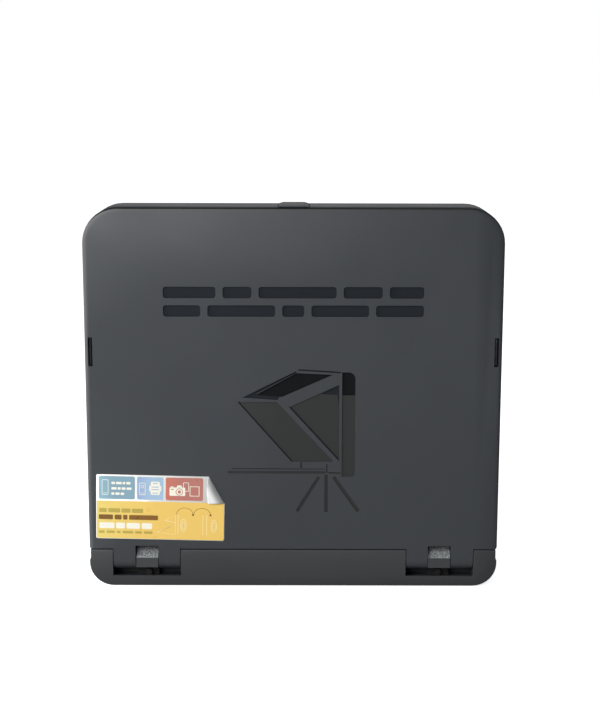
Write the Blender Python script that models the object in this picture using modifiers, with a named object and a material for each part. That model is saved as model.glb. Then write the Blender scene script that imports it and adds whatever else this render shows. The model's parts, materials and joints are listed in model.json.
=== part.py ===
"""Folding teleprompter, closed for carrying, as an assembly of separate pieces.

The case stands upright on its base bar. X runs to the right as seen from the front, Y to the
back and Z up, and the origin is the middle of the footprint on the surface it stands on.
Sizes below are in millimetres. place() turns each finished shape into metres.
"""

import math

import bmesh
import bpy
from mathutils import Matrix, Vector

MM = 0.001
GAP = 0.3  # between a piece and the neighbour it rests on or is cut by
PLAY = 0.2  # round a pin

# ---------------------------------------------------------------- driving dimensions
HALF_WIDTH = 124.0
HALF_DEPTH = 22.0
CASE_TOP = 231.5
TOP_CORNER = 21.0
WALL = 3.0

# base bar
BAR_BOTTOM = 0.8
BAR_TOP = 23.8
BAR_CORNER = 14.5
BAR_STEP = 0.8  # its ends are stepped in by this much above the round corners
BAR_STEP_Z = 17.0
BAR_ROOF = 21.3
BASE_PLATE = 2.6
REAR_ROOM_HALF = 105.0  # the bar is hollow behind the pockets and between them
FRONT_ROOM_HALF = 66.5
ROOM_FRONT = -19.5
ROOM_SPLIT = -5.5
ROOM_BACK = 19.5
POCKET = (68.5, 109.8)
POCKET_FLOOR = 5.1
POCKET_LIP = 7.3
POCKET_LIP_BACK = -20.4
POCKET_BACK = -8.2

# main hinge between the base bar and the front cover
HINGE_Y = -15.4
HINGE_Z = 16.9
KNUCKLE_R = 6.6
KNUCKLES = ((68.9, 81.9), (96.0, 109.4))
HINGE_BLOCK = (82.2, 95.7)
BLOCK_FACET = ((-15.2, 24.0), (-21.7, 18.6))  # Y and Z of the sloping face's upper and lower edge
BLOCK_CHIN = 12.3
BLOCK_HEEL_Y = -14.0
NOTCH_TOP = 26.2  # the cover is cut away to here above each block
HINGE_PIN_R = 2.0
RULE_JOINT_R = 10.0

# front cover, which folds down into the tablet tray
COVER_FRONT = -HALF_DEPTH
COVER_SKIN = 2.4
COVER_BACK = -14.4
COVER_INNER = COVER_FRONT + COVER_SKIN

# rear housing
HOUSING_FRONT = -13.9
HOUSING_BACK = 14.0
HOUSING_BOTTOM = BAR_TOP + GAP
BACK_WALL = HOUSING_BACK - WALL

# glass frame
GLASS_Y = -9.0
GLASS_Z = 33.0
GLASS_FRAME_FRONT = -12.4
GLASS_FRAME_BACK = -5.4
GLASS_FRAME_HALF = 112.0
GLASS_FRAME_TOP = 216.0
PIVOT_PIN_R = 2.0

# lens opening in the back wall
LENS_Z = 90.0
LENS_R = 50.0
SLEEVE_HOLE_R = 29.0

# folding camera plate
PLATE_Y = 17.0
PLATE_Z = 28.5
PLATE_HALF = 32.0
PLATE_TOP = 146.0
PLATE_THICK = 4.8
SLOT_HALF = 3.6
SLOT_REACH = 25.0
SCREW_Z = LENS_Z - SLOT_REACH

# latch
LATCH_Y = -6.0
LATCH_Z = 229.0
LATCH_HALF = 8.9
LATCH_TOP = 233.0

# screws and small pins
SCREW_R = 1.4
SCREW_HOLE_R = 1.7
SMALL_PIN_R = 1.5

FINE = 40  # sides of a large circle
ROUND = 20  # sides of a small one
SMALL = 12  # sides of a screw or of a corner under 3 mm


# ---------------------------------------------------------------- scene and materials
for old in list(bpy.data.objects):
    bpy.data.objects.remove(old, do_unlink=True)

parts = bpy.data.collections.new("teleprompter")
cutters = bpy.data.collections.new("cutters")
cutters.hide_render = True
for group in (parts, cutters):
    bpy.context.scene.collection.children.link(group)


def material(name, colour, roughness, metallic=0.0, alpha=1.0):
    made = bpy.data.materials.new(name)
    made.use_nodes = True
    shader = made.node_tree.nodes["Principled BSDF"]
    shader.inputs["Base Color"].default_value = (*colour, 1.0)
    shader.inputs["Roughness"].default_value = roughness
    shader.inputs["Metallic"].default_value = metallic
    shader.inputs["Alpha"].default_value = alpha
    made.diffuse_color = (*colour, alpha)
    return made


ABS = material("case_abs", (0.055, 0.062, 0.068), 0.55)
ABS_INNER = material("inner_abs", (0.03, 0.03, 0.032), 0.6)
CAST = material("cast_metal", (0.16, 0.17, 0.18), 0.5, 0.7)
STEEL = material("steel", (0.45, 0.46, 0.47), 0.35, 1.0)
ALUMINIUM = material("aluminium", (0.2, 0.2, 0.21), 0.4, 0.9)
RUBBER = material("rubber", (0.018, 0.018, 0.018), 0.85)
FABRIC = material("black_fabric", (0.012, 0.012, 0.013), 0.95)
GLASS = material("coated_glass", (0.55, 0.6, 0.6), 0.03, 0.0, 0.35)
PAPER = material("sticker", (0.85, 0.66, 0.25), 0.4)


# ---------------------------------------------------------------- shapes
def arc(centre, radius, start, stop, sides_per_turn=FINE):
    """Points of an arc from start to stop degrees, both ends included."""
    steps = max(2, round(abs(stop - start) / 360 * sides_per_turn))
    angles = [math.radians(start + (stop - start) * i / steps) for i in range(steps + 1)]
    return [(centre[0] + radius * math.cos(a), centre[1] + radius * math.sin(a)) for a in angles]


def circle(centre, radius, sides=ROUND):
    return arc(centre, radius, 0, 360, sides)[:-1]


def sides_for(radius):
    """Sides of a full circle of this radius, fewer on small corners."""
    return SMALL if radius < 3 else ROUND if radius < 10 else FINE


def rounded(corners):
    """An outline from (u, v, radius) corners, each corner with a radius turned into an arc."""
    points = []
    for i, (u, v, radius) in enumerate(corners):
        here = Vector((u, v))
        if not radius:
            points.append((u, v))
            continue
        before = (Vector(corners[i - 1][:2]) - here).normalized()
        after = (Vector(corners[(i + 1) % len(corners)][:2]) - here).normalized()
        half = before.angle(after) / 2
        centre = here + (before + after).normalized() * radius / math.sin(half)
        touch = here + before * radius / math.tan(half) - centre
        turn = touch.angle_signed(here + after * radius / math.tan(half) - centre)
        steps = max(1, round(abs(turn) / math.tau * sides_for(radius)))
        for k in range(steps + 1):
            spoke = Matrix.Rotation(-turn * k / steps, 2) @ touch
            points.append(tuple(centre + spoke))
    return points


def rectangle(low_u, low_v, high_u, high_v, bottom=0.0, top=0.0):
    """A rectangle's outline with one radius for its bottom corners and one for its top ones."""
    corners = [
        (low_u, low_v, bottom),
        (high_u, low_v, bottom),
        (high_u, high_v, top),
        (low_u, high_v, top),
    ]
    return rounded(corners)


# A flat outline is drawn in (u, v): (X, Z) along Y, (Y, Z) along X or (X, Y) along Z.
TURN = {
    "X": Matrix(((0, 0, 1), (1, 0, 0), (0, 1, 0))).to_4x4(),
    "Y": Matrix(((1, 0, 0), (0, 0, -1), (0, 1, 0))).to_4x4(),
    "Z": Matrix.Identity(4),
}


def prism(axis, outline, low, high, holes=(), low_edge=0.0, high_edge=0.0):
    """A flat outline, with any holes, given a thickness from low to high along an axis.

    low_edge and high_edge are the radii of the edge all round the low and the high face.
    """
    curve = bpy.data.curves.new("outline", "CURVE")
    curve.dimensions = "2D"
    curve.fill_mode = "BOTH"
    curve.extrude = (high - low) / 2
    for loop in (outline, *holes):
        spline = curve.splines.new("POLY")
        spline.points.add(len(loop) - 1)
        for point, (u, v) in zip(spline.points, loop):
            point.co = (u, v, 0.0, 1.0)
        spline.use_cyclic_u = True
    holder = bpy.data.objects.new("outline", curve)
    parts.objects.link(holder)
    graph = bpy.context.evaluated_depsgraph_get()
    flat = bpy.data.meshes.new_from_object(holder.evaluated_get(graph))
    bpy.data.objects.remove(holder)
    bpy.data.curves.remove(curve)
    middle = (low + high) / 2
    side = {"X": (middle, 0, 0), "Y": (0, middle, 0), "Z": (0, 0, middle)}[axis]
    shape = bmesh.new()
    shape.from_mesh(flat)
    bpy.data.meshes.remove(flat)
    bmesh.ops.remove_doubles(shape, verts=shape.verts, dist=0.001)
    bmesh.ops.dissolve_limit(
        shape, angle_limit=math.radians(0.1), verts=shape.verts, edges=shape.edges
    )
    bmesh.ops.transform(shape, matrix=Matrix.Translation(side) @ TURN[axis], verts=shape.verts)
    bmesh.ops.recalc_face_normals(shape, faces=shape.faces)
    for end, radius in ((low, low_edge), (high, high_edge)):
        if radius:
            along = "XYZ".index(axis)
            rim = [
                edge
                for edge in shape.edges
                if all(abs(vert.co[along] - end) < 0.01 for vert in edge.verts)
                and edge.calc_face_angle() > 1
            ]
            bmesh.ops.bevel(
                shape, geom=rim, offset=radius, segments=2, profile=0.5, affect="EDGES"
            )
    return shape


def box(low, high):
    shape = bmesh.new()
    bmesh.ops.create_cube(shape, size=1.0)
    size = [b - a for a, b in zip(low, high)]
    middle = [(a + b) / 2 for a, b in zip(low, high)]
    bmesh.ops.scale(shape, vec=size, verts=shape.verts)
    bmesh.ops.translate(shape, vec=middle, verts=shape.verts)
    return shape


def rod(axis, centre, radius, low, high, sides=ROUND):
    """A cylinder along an axis, from low to high. centre is its (u, v)."""
    shape = bmesh.new()
    bmesh.ops.create_cone(
        shape, cap_ends=True, segments=sides, radius1=radius, radius2=radius, depth=high - low
    )
    bmesh.ops.rotate(shape, matrix=Matrix.Rotation(math.pi / sides, 3, "Z"), verts=shape.verts)
    along = (low + high) / 2
    u, v = centre
    side = {"X": (along, u, v), "Y": (u, along, v), "Z": (u, v, along)}[axis]
    bmesh.ops.transform(shape, matrix=Matrix.Translation(side) @ TURN[axis], verts=shape.verts)
    return shape


def merge(*shapes):
    """Several separate closed shapes as one mesh, for use as one cutter."""
    whole = bmesh.new()
    for shape in shapes:
        scratch = bpy.data.meshes.new("scratch")
        shape.to_mesh(scratch)
        shape.free()
        whole.from_mesh(scratch)
        bpy.data.meshes.remove(scratch)
    return whole


def place(name, shape, collection, pivot=None):
    """A shape in millimetres becomes an object in metres, hung from a joint's empty if one is named."""
    origin = PIVOTS[pivot] if pivot else (0.0, 0.0, 0.0)
    mesh = bpy.data.meshes.new(name)
    shape.to_mesh(mesh)
    shape.free()
    mesh.transform(Matrix.Scale(MM, 4) @ Matrix.Translation([-c for c in origin]))
    mesh.set_sharp_from_angle(angle=math.radians(35))
    thing = bpy.data.objects.new(name, mesh)
    thing.parent = pivot_empties.get(pivot)
    collection.objects.link(thing)
    return thing


def piece(name, shape, look, pivot=None):
    """One part of the assembly. A moving one hangs from the empty on its joint's axis."""
    thing = place(name, shape, parts, pivot)
    thing.data.materials.append(look)
    thing["pivot"] = pivot or ""
    return thing


def combine(thing, shape, operation):
    """Joins, cuts or intersects a piece with a shape, which becomes a hidden tool beside it."""
    tool = place(thing.name + "_" + operation.lower(), shape, cutters, thing["pivot"] or None)
    tool.hide_render = True
    tool.display_type = "WIRE"
    step = thing.modifiers.new(operation.title(), "BOOLEAN")
    step.operation = operation
    step.object = tool


def cut(thing, *shapes):
    for shape in shapes:
        combine(thing, shape, "DIFFERENCE")


def join(thing, *shapes):
    for shape in shapes:
        combine(thing, shape, "UNION")


def turned(name, profile, look, centre, sides=ROUND):
    """A solid of revolution about a vertical axis: (radius, height) points, outer side downwards."""
    shape = bmesh.new()
    points = [shape.verts.new((r, 0.0, z)) for r, z in profile]
    for a, b in zip(points, points[1:]):
        shape.edges.new((a, b))
    if profile[0][0] > 0 and profile[-1][0] > 0:
        shape.edges.new((points[-1], points[0]))
    thing = piece(name, shape, look)
    thing.location = [c * MM for c in centre]
    screw = thing.modifiers.new("Turn", "SCREW")
    screw.steps = sides
    screw.render_steps = sides
    screw.use_merge_vertices = True
    screw.merge_threshold = 0.00001
    return thing


def wire(name, points, radius, look):
    """A round wire along a list of points, with flat ends."""
    curve = bpy.data.curves.new(name, "CURVE")
    curve.dimensions = "3D"
    curve.bevel_depth = radius * MM
    curve.bevel_resolution = 2
    curve.use_fill_caps = True
    spline = curve.splines.new("POLY")
    spline.points.add(len(points) - 1)
    for knot, point in zip(spline.points, points):
        knot.co = (*[c * MM for c in point], 1.0)
    thing = bpy.data.objects.new(name, curve)
    thing.data.materials.append(look)
    parts.objects.link(thing)
    return thing


# ---------------------------------------------------------------- joint axes
PIVOTS = {
    "cover": (0.0, HINGE_Y, HINGE_Z),
    "glass": (0.0, GLASS_Y, GLASS_Z),
    "latch": (0.0, LATCH_Y, LATCH_Z),
    "camera_plate": (0.0, PLATE_Y, PLATE_Z),
    "camera_screw": (0.0, PLATE_Y, SCREW_Z),
}
pivot_empties = {}
for pivot_name, pivot_place in PIVOTS.items():
    empty = bpy.data.objects.new(pivot_name + "_pivot", None)
    empty.location = [c * MM for c in pivot_place]
    empty.empty_display_size = 0.01
    parts.objects.link(empty)
    pivot_empties[pivot_name] = empty
SIDES = (("left", -1), ("right", 1))


def span(side, low, high):
    """The X range low to high, mirrored to the left where side is -1."""
    return (low, high) if side > 0 else (-high, -low)


# ---------------------------------------------------------------- base bar
def base_housing():
    outer = rectangle(-HALF_WIDTH, BAR_BOTTOM, HALF_WIDTH, BAR_TOP, bottom=BAR_CORNER)
    block = prism("Y", outer, -HALF_DEPTH, HALF_DEPTH, low_edge=1.0, high_edge=1.6)
    bar = piece("base_housing", block, ABS)
    rear_low, rear_high = (-REAR_ROOM_HALF, ROOM_SPLIT, -1), (REAR_ROOM_HALF, ROOM_BACK, BAR_ROOF)
    front_low = (-FRONT_ROOM_HALF, ROOM_FRONT, -1)
    front_high = (FRONT_ROOM_HALF, ROOM_SPLIT + 0.5, BAR_ROOF)
    cut(bar, box(rear_low, rear_high), box(front_low, front_high))
    for _, side in SIDES:
        low, high = span(side, *POCKET)
        cut(bar, box((low, POCKET_LIP_BACK, POCKET_FLOOR), (high, POCKET_BACK, 30)))
        cut(bar, box((low, -30, POCKET_LIP), (high, POCKET_LIP_BACK + 0.5, 31)))
        low, high = span(side, HALF_WIDTH - BAR_STEP, HALF_WIDTH + 1)
        cut(bar, box((low, -30, BAR_STEP_Z), (high, 30, 30)))
        cut(bar, rod("Y", (side * HINGE_SCREW_X, HINGE_SCREW_Z), SCREW_HOLE_R, -9, -5))
    for x, y in BASE_SCREWS:
        join(bar, rod("Z", (x, y), 4.0, BAR_BOTTOM + BASE_PLATE + GAP, BAR_ROOF + 0.4))
        cut(bar, rod("Z", (x, y), SCREW_HOLE_R, 0, 14.5, SMALL))
    for _, side in SIDES:
        low, high = span(side, PLATE_HALF + GAP, PLATE_HALF + 4.3)
        ear = rounded(
            [(14.2, BAR_TOP - 1, 0), (19.8, BAR_TOP - 1, 0), (19.8, 31.3, 2.6), (14.2, 31.3, 2.6)]
        )
        join(bar, prism("X", ear, low, high))
    cut(bar, rod("X", (PLATE_Y, PLATE_Z), SMALL_PIN_R + PLAY, -40, 40, SMALL))


BASE_SCREWS = ((-98.0, 2.0), (98.0, 2.0), (-40.0, -14.0), (40.0, -14.0))
FEET = ((-90.0, 12.0), (90.0, 12.0), (-58.0, -12.5), (58.0, -12.5))
FOOT_R = 6.0
BOSS_R = 15.0
HINGE_SCREW_X = 88.5
HINGE_SCREW_Z = 7.8


def base_plate():
    front, split, rear = ROOM_FRONT + GAP, ROOM_SPLIT + GAP, ROOM_BACK - GAP
    wide, narrow = REAR_ROOM_HALF - GAP, FRONT_ROOM_HALF - GAP
    outline = [
        (-narrow, front), (narrow, front), (narrow, split), (wide, split),
        (wide, rear), (-wide, rear), (-wide, split), (-narrow, split),
    ]
    top = BAR_BOTTOM + BASE_PLATE
    holes = [circle((0, 0), BOSS_R + GAP, FINE)]
    holes += [circle(screw, 1.9, SMALL) for screw in BASE_SCREWS]
    plate = piece("base_plate", prism("Z", outline, BAR_BOTTOM, top, holes), ABS_INNER)
    for spot in BASE_SCREWS:
        cut(plate, rod("Z", spot, 3.2, 0, 2.7))
    for spot in FEET:
        cut(plate, rod("Z", spot, FOOT_R + GAP, 0, 2.2))


def base_fittings():
    boss = [
        (3.2, 12.0), (8.0, 12.0), (8.0, 5.8), (18.0, 5.8),
        (18.0, 3.7), (BOSS_R, 3.7), (BOSS_R, 0.4), (BOSS_R - 0.4, 0.0), (3.2, 0.0),
    ]
    turned("tripod_boss", boss, ALUMINIUM, (0, 0, 0))
    foot = [(0.0, 1.9), (FOOT_R, 1.9), (FOOT_R, 0.5), (FOOT_R - 0.5, 0.0), (0.0, 0.0)]
    for i, (x, y) in enumerate(FEET, 1):
        turned(f"rubber_foot_{i}", foot, RUBBER, (x, y, 0))
    screw = [
        (0.0, 12.0), (1.4, 12.0), (1.4, 2.4), (2.9, 2.4),
        (2.9, 1.3), (2.6, 1.0), (1.2, 1.0), (1.2, 1.6), (0.0, 1.6),
    ]
    for i, (x, y) in enumerate(BASE_SCREWS, 1):
        turned(f"base_screw_{i}", screw, STEEL, (x, y, 0), SMALL)


def hinges():
    """The cast hinge block in each pocket, its pin and the screw that holds it down."""
    back, foot = POCKET_BACK - GAP, POCKET_FLOOR + GAP
    upper, lower = BLOCK_FACET
    profile = [
        (back, foot), (back, upper[1]), upper, lower,
        (lower[0], BLOCK_CHIN), (BLOCK_HEEL_Y, BLOCK_CHIN), (BLOCK_HEEL_Y, foot),
    ]
    for name, side in SIDES:
        low, high = span(side, *HINGE_BLOCK)
        block = piece(f"hinge_block_{name}", prism("X", profile, low, high), CAST)
        screw = (side * HINGE_SCREW_X, HINGE_SCREW_Z)
        cut(block, rod("X", (HINGE_Y, HINGE_Z), HINGE_PIN_R + PLAY, low - 1, high + 1))
        cut(block, rod("Y", screw, SCREW_HOLE_R, -20, 0, SMALL))
        low, high = span(side, POCKET[0] + 0.6, POCKET[1] - 0.6)
        pin = rod("X", (HINGE_Y, HINGE_Z), HINGE_PIN_R, low, high)
        piece(f"hinge_pin_{name}", pin, STEEL)
        under = BLOCK_HEEL_Y - GAP
        held = piece(f"hinge_screw_{name}", rod("Y", screw, 2.1, under - 2.1, under), STEEL)
        join(held, rod("Y", screw, SCREW_R, under - 0.7, -5.0, SMALL))


# ---------------------------------------------------------------- front cover
STRAP_SLOT = (119.3, 121.9)
STRAP_Z = (137.2, 154.6)
LINER = 0.9  # thickness of the felt
LINER_HALF = 111.0
LINER_Z = (36.0, 214.0)
GRIP = (62.0, 70.0)
GRIP_Z = (44.0, 206.0)
GRIP_THICK = 1.5
ANCHOR_START = 114.6
MAGNET_SPOT = (100.0, 222.5)
MAGNET_R = 4.0
SHALLOW, MIDDLE, DEEP = 0.5, 0.75, 1.0  # recesses in the cover's face


def script_bars():
    """Two rows of rounded bars of unequal length, like lines of a script."""
    height, space, half = 6.8, 4.2, 77.0
    rows = ((181.6, (31, 17, 46, 23)), (170.6, (22, 40, 13, 34)))
    bars = []
    for middle, lengths in rows:
        spare = 2 * half - space * len(lengths) - sum(lengths)
        at = -half
        for length in (*lengths, spare):
            bar = rectangle(at, middle - height / 2, at + length, middle + height / 2, 1.6, 1.6)
            bars.append(prism("Y", bar, COVER_FRONT - 1, COVER_FRONT + MIDDLE))
            at += length + space
    return bars


def stroke(start, stop, width):
    """The outline of a straight stroke with square ends."""
    a, b = Vector(start), Vector(stop)
    side = (b - a).orthogonal().normalized() * width / 2
    return [tuple(p) for p in (a + side, a - side, b - side, b + side)]


def pictogram():
    """A sketch of the open hood on its tray and tripod, as recesses of three depths."""
    at = Vector((20.0, 69.5))  # the top of the tripod
    shallow = [
        [(-53.4, 46.3), (-30, 46.3), (4.2, 9.6), (-21.2, 9.6)],  # sloping glass
        [(-22.6, 43), (7.5, 56.8), (7.5, 9.9)],  # side of the hood
        rounded([(9.1, 0.4, 0), (17, 0.4, 2), (17, 51, 0), (9.1, 51, 0)]),  # case
        stroke((-59.3, 3.0), (-0.9, 2.9), 1.4),  # tray
        stroke((-56.9, 5.2), (-0.9, 5.0), 0.5),
        stroke((1.2, 2.8), (8.6, 2.5), 0.8),
        stroke((-15.2, 9.1), (-15.2, 5.7), 1.1),  # hinge of the glass
        stroke((0.2, 8.0), (0.2, 2.6), 0.9),
        stroke((-4.5, 0.1), (-17.6, -21.4), 2.0),  # legs
        stroke((-0.1, 1.4), (-0.1, -21.7), 2.0),
        stroke((4.4, 0.1), (19.4, -21.3), 2.2),
    ]
    middle = [
        [(-50.4, 48.9), (-29.4, 47.4), (-28.0, 49.8), (-42.4, 51.0), (-18.6, 63.9), (-18.4, 65.0)],  # rim
        stroke((-16.9, 65.8), (8.4, 64.2), 0.9),  # far rim
        stroke((-52.6, 46.0), (-21.0, 10.0), 0.8),  # edge of the glass
        [(-22.2, 42.9), (-21.2, 43.1), (7.2, 11.6), (7.2, 10.4)],  # edges of the hood's side
        [(-4, 51.2), (7.2, 56.4), (7.2, 44), (6.4, 50.4)],
    ]
    deep = [
        [(-42.7, 50.4), (-18.4, 63.8), (3.5, 62.8), (-26.9, 49.3)],  # opening of the hood
        rounded([(9.1, 50.3, 0), (17, 50.3, 0), (17, 64.3, 4), (9.1, 64.3, 0)]),  # top of the case
    ]
    tools = []
    for outlines, depth in ((shallow, SHALLOW), (middle, MIDDLE), (deep, DEEP)):
        moved = [[tuple(at + Vector(point)) for point in outline] for outline in outlines]
        tools.append([prism("Y", o, COVER_FRONT - 1, COVER_FRONT + depth) for o in moved])
    return tools


def front_cover():
    outer = rectangle(-HALF_WIDTH, 20, HALF_WIDTH, CASE_TOP, top=TOP_CORNER)
    inset = COVER_SKIN
    inner = rectangle(
        -HALF_WIDTH + inset, 29, HALF_WIDTH - inset, CASE_TOP - inset,
        bottom=2.0, top=TOP_CORNER - inset,
    )
    tray = prism("Y", outer, COVER_FRONT, COVER_BACK, low_edge=1.4, high_edge=0.4)
    cover = piece("front_cover", tray, ABS, "cover")
    # the lower edge is hollowed to a cylinder about the hinge, as in a rule joint
    cut(cover, rod("X", (HINGE_Y, HINGE_Z), RULE_JOINT_R, -130, 130, 96))
    cut(cover, prism("Y", inner, COVER_INNER, 0))
    lug_back = -16.5
    meets = math.degrees(math.acos((lug_back - HINGE_Y) / KNUCKLE_R))
    barrel = arc((HINGE_Y, HINGE_Z), KNUCKLE_R, 180, 360 + meets)
    lug = [(COVER_FRONT, 28.5), *barrel, (lug_back, 28.5)]
    for _, side in SIDES:
        for ends in KNUCKLES:
            join(cover, prism("X", lug, *span(side, *ends)))
        low, high = span(side, *POCKET)
        cut(cover, rod("X", (HINGE_Y, HINGE_Z), HINGE_PIN_R + PLAY, low, high))
        low, high = span(side, KNUCKLES[0][1], KNUCKLES[1][0])
        cut(cover, box((low, -25, 15), (high, -10, NOTCH_TOP)))
        low, high = span(side, *STRAP_SLOT)
        cut(cover, box((low, -25, STRAP_Z[0]), (high, -18, STRAP_Z[1])))
        spot = (side * MAGNET_SPOT[0], MAGNET_SPOT[1])
        join(cover, rod("Y", spot, MAGNET_R + 1.9, COVER_INNER - 0.5, -14.8))
        cut(cover, rod("Y", spot, MAGNET_R + GAP, -18.2, -13))
    shallow, middle, deep = pictogram()
    cut(cover, merge(*shallow), merge(*script_bars(), *middle), merge(*deep))
    # seat for the nose of the latch
    cut(cover, box((-LATCH_HALF - 0.7, -19.0, CASE_TOP - 1.0), (LATCH_HALF + 0.7, -13, 240)))


def cover_fittings():
    back = COVER_INNER + GAP
    liner = rectangle(-LINER_HALF, LINER_Z[0], LINER_HALF, LINER_Z[1], 6, 6)
    piece("tray_liner", prism("Y", liner, back, back + LINER), FABRIC, "cover")
    for name, side in SIDES:
        low, high = span(side, *GRIP)
        strip = rectangle(low, GRIP_Z[0], high, GRIP_Z[1], 3.9, 3.9)
        front = back + LINER + GAP
        piece(f"grip_strip_{name}", prism("Y", strip, front, front + GRIP_THICK), RUBBER, "cover")
        low, high = span(side, ANCHOR_START, STRAP_SLOT[0] - 0.1)
        anchor = rectangle(low, STRAP_Z[0] - 2.5, high, STRAP_Z[1] + 2.5, 1, 1)
        piece(f"strap_anchor_{name}", prism("Y", anchor, back, back + 1.9), ABS_INNER, "cover")
        spot = (side * MAGNET_SPOT[0], MAGNET_SPOT[1])
        magnet = rod("Y", spot, MAGNET_R, -17.9, -15.0)
        piece(f"cover_magnet_{name}", magnet, STEEL, "cover")
    # an elastic band across the tray, its ends turned down into the two slots
    near, far, outer, inner = -16.5, -15.5, STRAP_SLOT[1] - 0.6, STRAP_SLOT[0] + 0.4
    end = COVER_FRONT + 0.6
    path = [
        (-outer, end), (-inner, end), (-inner, near), (inner, near),
        (inner, end), (outer, end), (outer, far), (-outer, far),
    ]
    band = prism("Z", path, STRAP_Z[0] + 0.8, STRAP_Z[1] - 0.8)
    piece("tablet_strap", band, FABRIC, "cover")
    sticker = [(-119.6, 31.0), (-42.0, 29.3), (-41.3, 52.9), (-50.7, 69.4), (-118.7, 71.1)]
    label = prism("Y", sticker, COVER_FRONT - 0.25, COVER_FRONT - 0.05)
    piece("cover_label", label, PAPER, "cover")


# ---------------------------------------------------------------- rear housing
REAR_SCREWS = ((-113.5, 58.0), (113.5, 58.0), (-113.5, 191.0), (113.5, 191.0))


def rear_housing():
    outer = rectangle(-HALF_WIDTH, HOUSING_BOTTOM, HALF_WIDTH, CASE_TOP, top=TOP_CORNER)
    inner = rectangle(
        -HALF_WIDTH + WALL, HOUSING_BOTTOM + 2.4, HALF_WIDTH - WALL, CASE_TOP - WALL,
        top=TOP_CORNER - WALL,
    )
    block = prism("Y", outer, HOUSING_FRONT, HOUSING_BACK, low_edge=0.5, high_edge=2.2)
    shell = piece("rear_housing", block, ABS)
    cut(shell, prism("Y", inner, -20, BACK_WALL))
    cut(shell, rod("Y", (0, LENS_Z), LENS_R, 5, 20, FINE))
    for spot in REAR_SCREWS:
        cut(shell, rod("Y", spot, SCREW_HOLE_R + PLAY, 5, 20, SMALL), rod("Y", spot, 3.2, 12.6, 20))
    for _, side in SIDES:
        # a block inside each top corner holds a closing magnet
        x, z = side * MAGNET_SPOT[0], MAGNET_SPOT[1]
        seat = rectangle(x - 6.2, z - 5.0, x + 6.2, CASE_TOP - 1.5, 2, 0)
        join(shell, prism("Y", seat, HOUSING_FRONT, -8.0))
        cut(shell, rod("Y", (x, z), MAGNET_R + GAP, -20, -10.5))
    # opening for the latch, with ears for its pin and a shelf for its spring
    low, high = -LATCH_HALF - 0.5, LATCH_HALF + 0.5
    cut(shell, box((low, -20, 220), (high, 5.2, 240)))
    for ends in ((high, high + 3.2), (low - 3.2, low)):
        join(shell, box((ends[0], -10, 224), (ends[1], 4.4, CASE_TOP - 1)))
    join(shell, box((low - 1, -1.6, 223.2), (high + 1, 4.4, 224.9)))
    cut(shell, rod("X", (LATCH_Y, LATCH_Z), SMALL_PIN_R + PLAY, -15, 15, SMALL))


def latch():
    side_view = rounded(
        [
            (-20.6, CASE_TOP + GAP, 0), (-13.4, CASE_TOP + GAP, 0), (-12.0, 230.0, 1.0),
            (-8.4, 230.0, 0), (-8.4, 227.2, 2.0), (-3.6, 227.2, 2.0), (-3.6, 230.4, 0),
            (4.4, 230.4, 0), (4.4, 232.2, 0.8), (3.0, LATCH_TOP, 0), (-18.6, LATCH_TOP, 0),
            (-20.6, LATCH_TOP - 0.6, 0),
        ]
    )
    shoulder, bevel = LATCH_TOP - 0.9, LATCH_HALF - 2.7
    front_view = [
        (-LATCH_HALF, 220), (LATCH_HALF, 220), (LATCH_HALF, shoulder), (bevel, LATCH_TOP + 0.1),
        (-bevel, LATCH_TOP + 0.1), (-LATCH_HALF, shoulder),
    ]
    tab = piece("latch_tab", prism("X", side_view, -10, 10), ABS, "latch")
    combine(tab, prism("Y", front_view, -25, 10), "INTERSECT")
    cut(tab, rod("X", (LATCH_Y, LATCH_Z), SMALL_PIN_R + PLAY, -12, 12, SMALL))
    pin = rod("X", (LATCH_Y, LATCH_Z), SMALL_PIN_R, -12.2, 12.2, SMALL)
    piece("latch_pin", pin, STEEL)
    turns, low, high, radius = 4, 225.4, 229.8, 1.7
    steps = turns * 8
    coil = [
        (
            radius * math.cos(math.tau * turns * i / steps),
            1.4 + radius * math.sin(math.tau * turns * i / steps),
            low + (high - low) * i / steps,
        )
        for i in range(steps + 1)
    ]
    wire("latch_spring", coil, 0.25, STEEL)


def closing_fittings():
    for name, side in SIDES:
        spot = (side * MAGNET_SPOT[0], MAGNET_SPOT[1])
        piece(f"housing_magnet_{name}", rod("Y", spot, MAGNET_R, -13.7, -10.8), STEEL)
    for i, spot in enumerate(REAR_SCREWS, 1):
        screw = piece(f"rear_screw_{i}", rod("Y", spot, 2.8, 12.9, 13.9), STEEL)
        join(screw, rod("Y", spot, SCREW_R, 6.2, 13.2, SMALL))
        cut(screw, rod("Y", spot, 1.1, 13.3, 15, 6))


# ---------------------------------------------------------------- hood, lens ring and sleeve
HOOD_HALF = 119.0
HOOD_Z = (44.0, 222.0)
HOOD_Y = (-5.0, 4.6)
ROOM_HALF = 105.0  # clear space inside the hood
ROOM_TOP = 209.0
CLAMP_Y = (5.0, 8.0)


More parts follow.
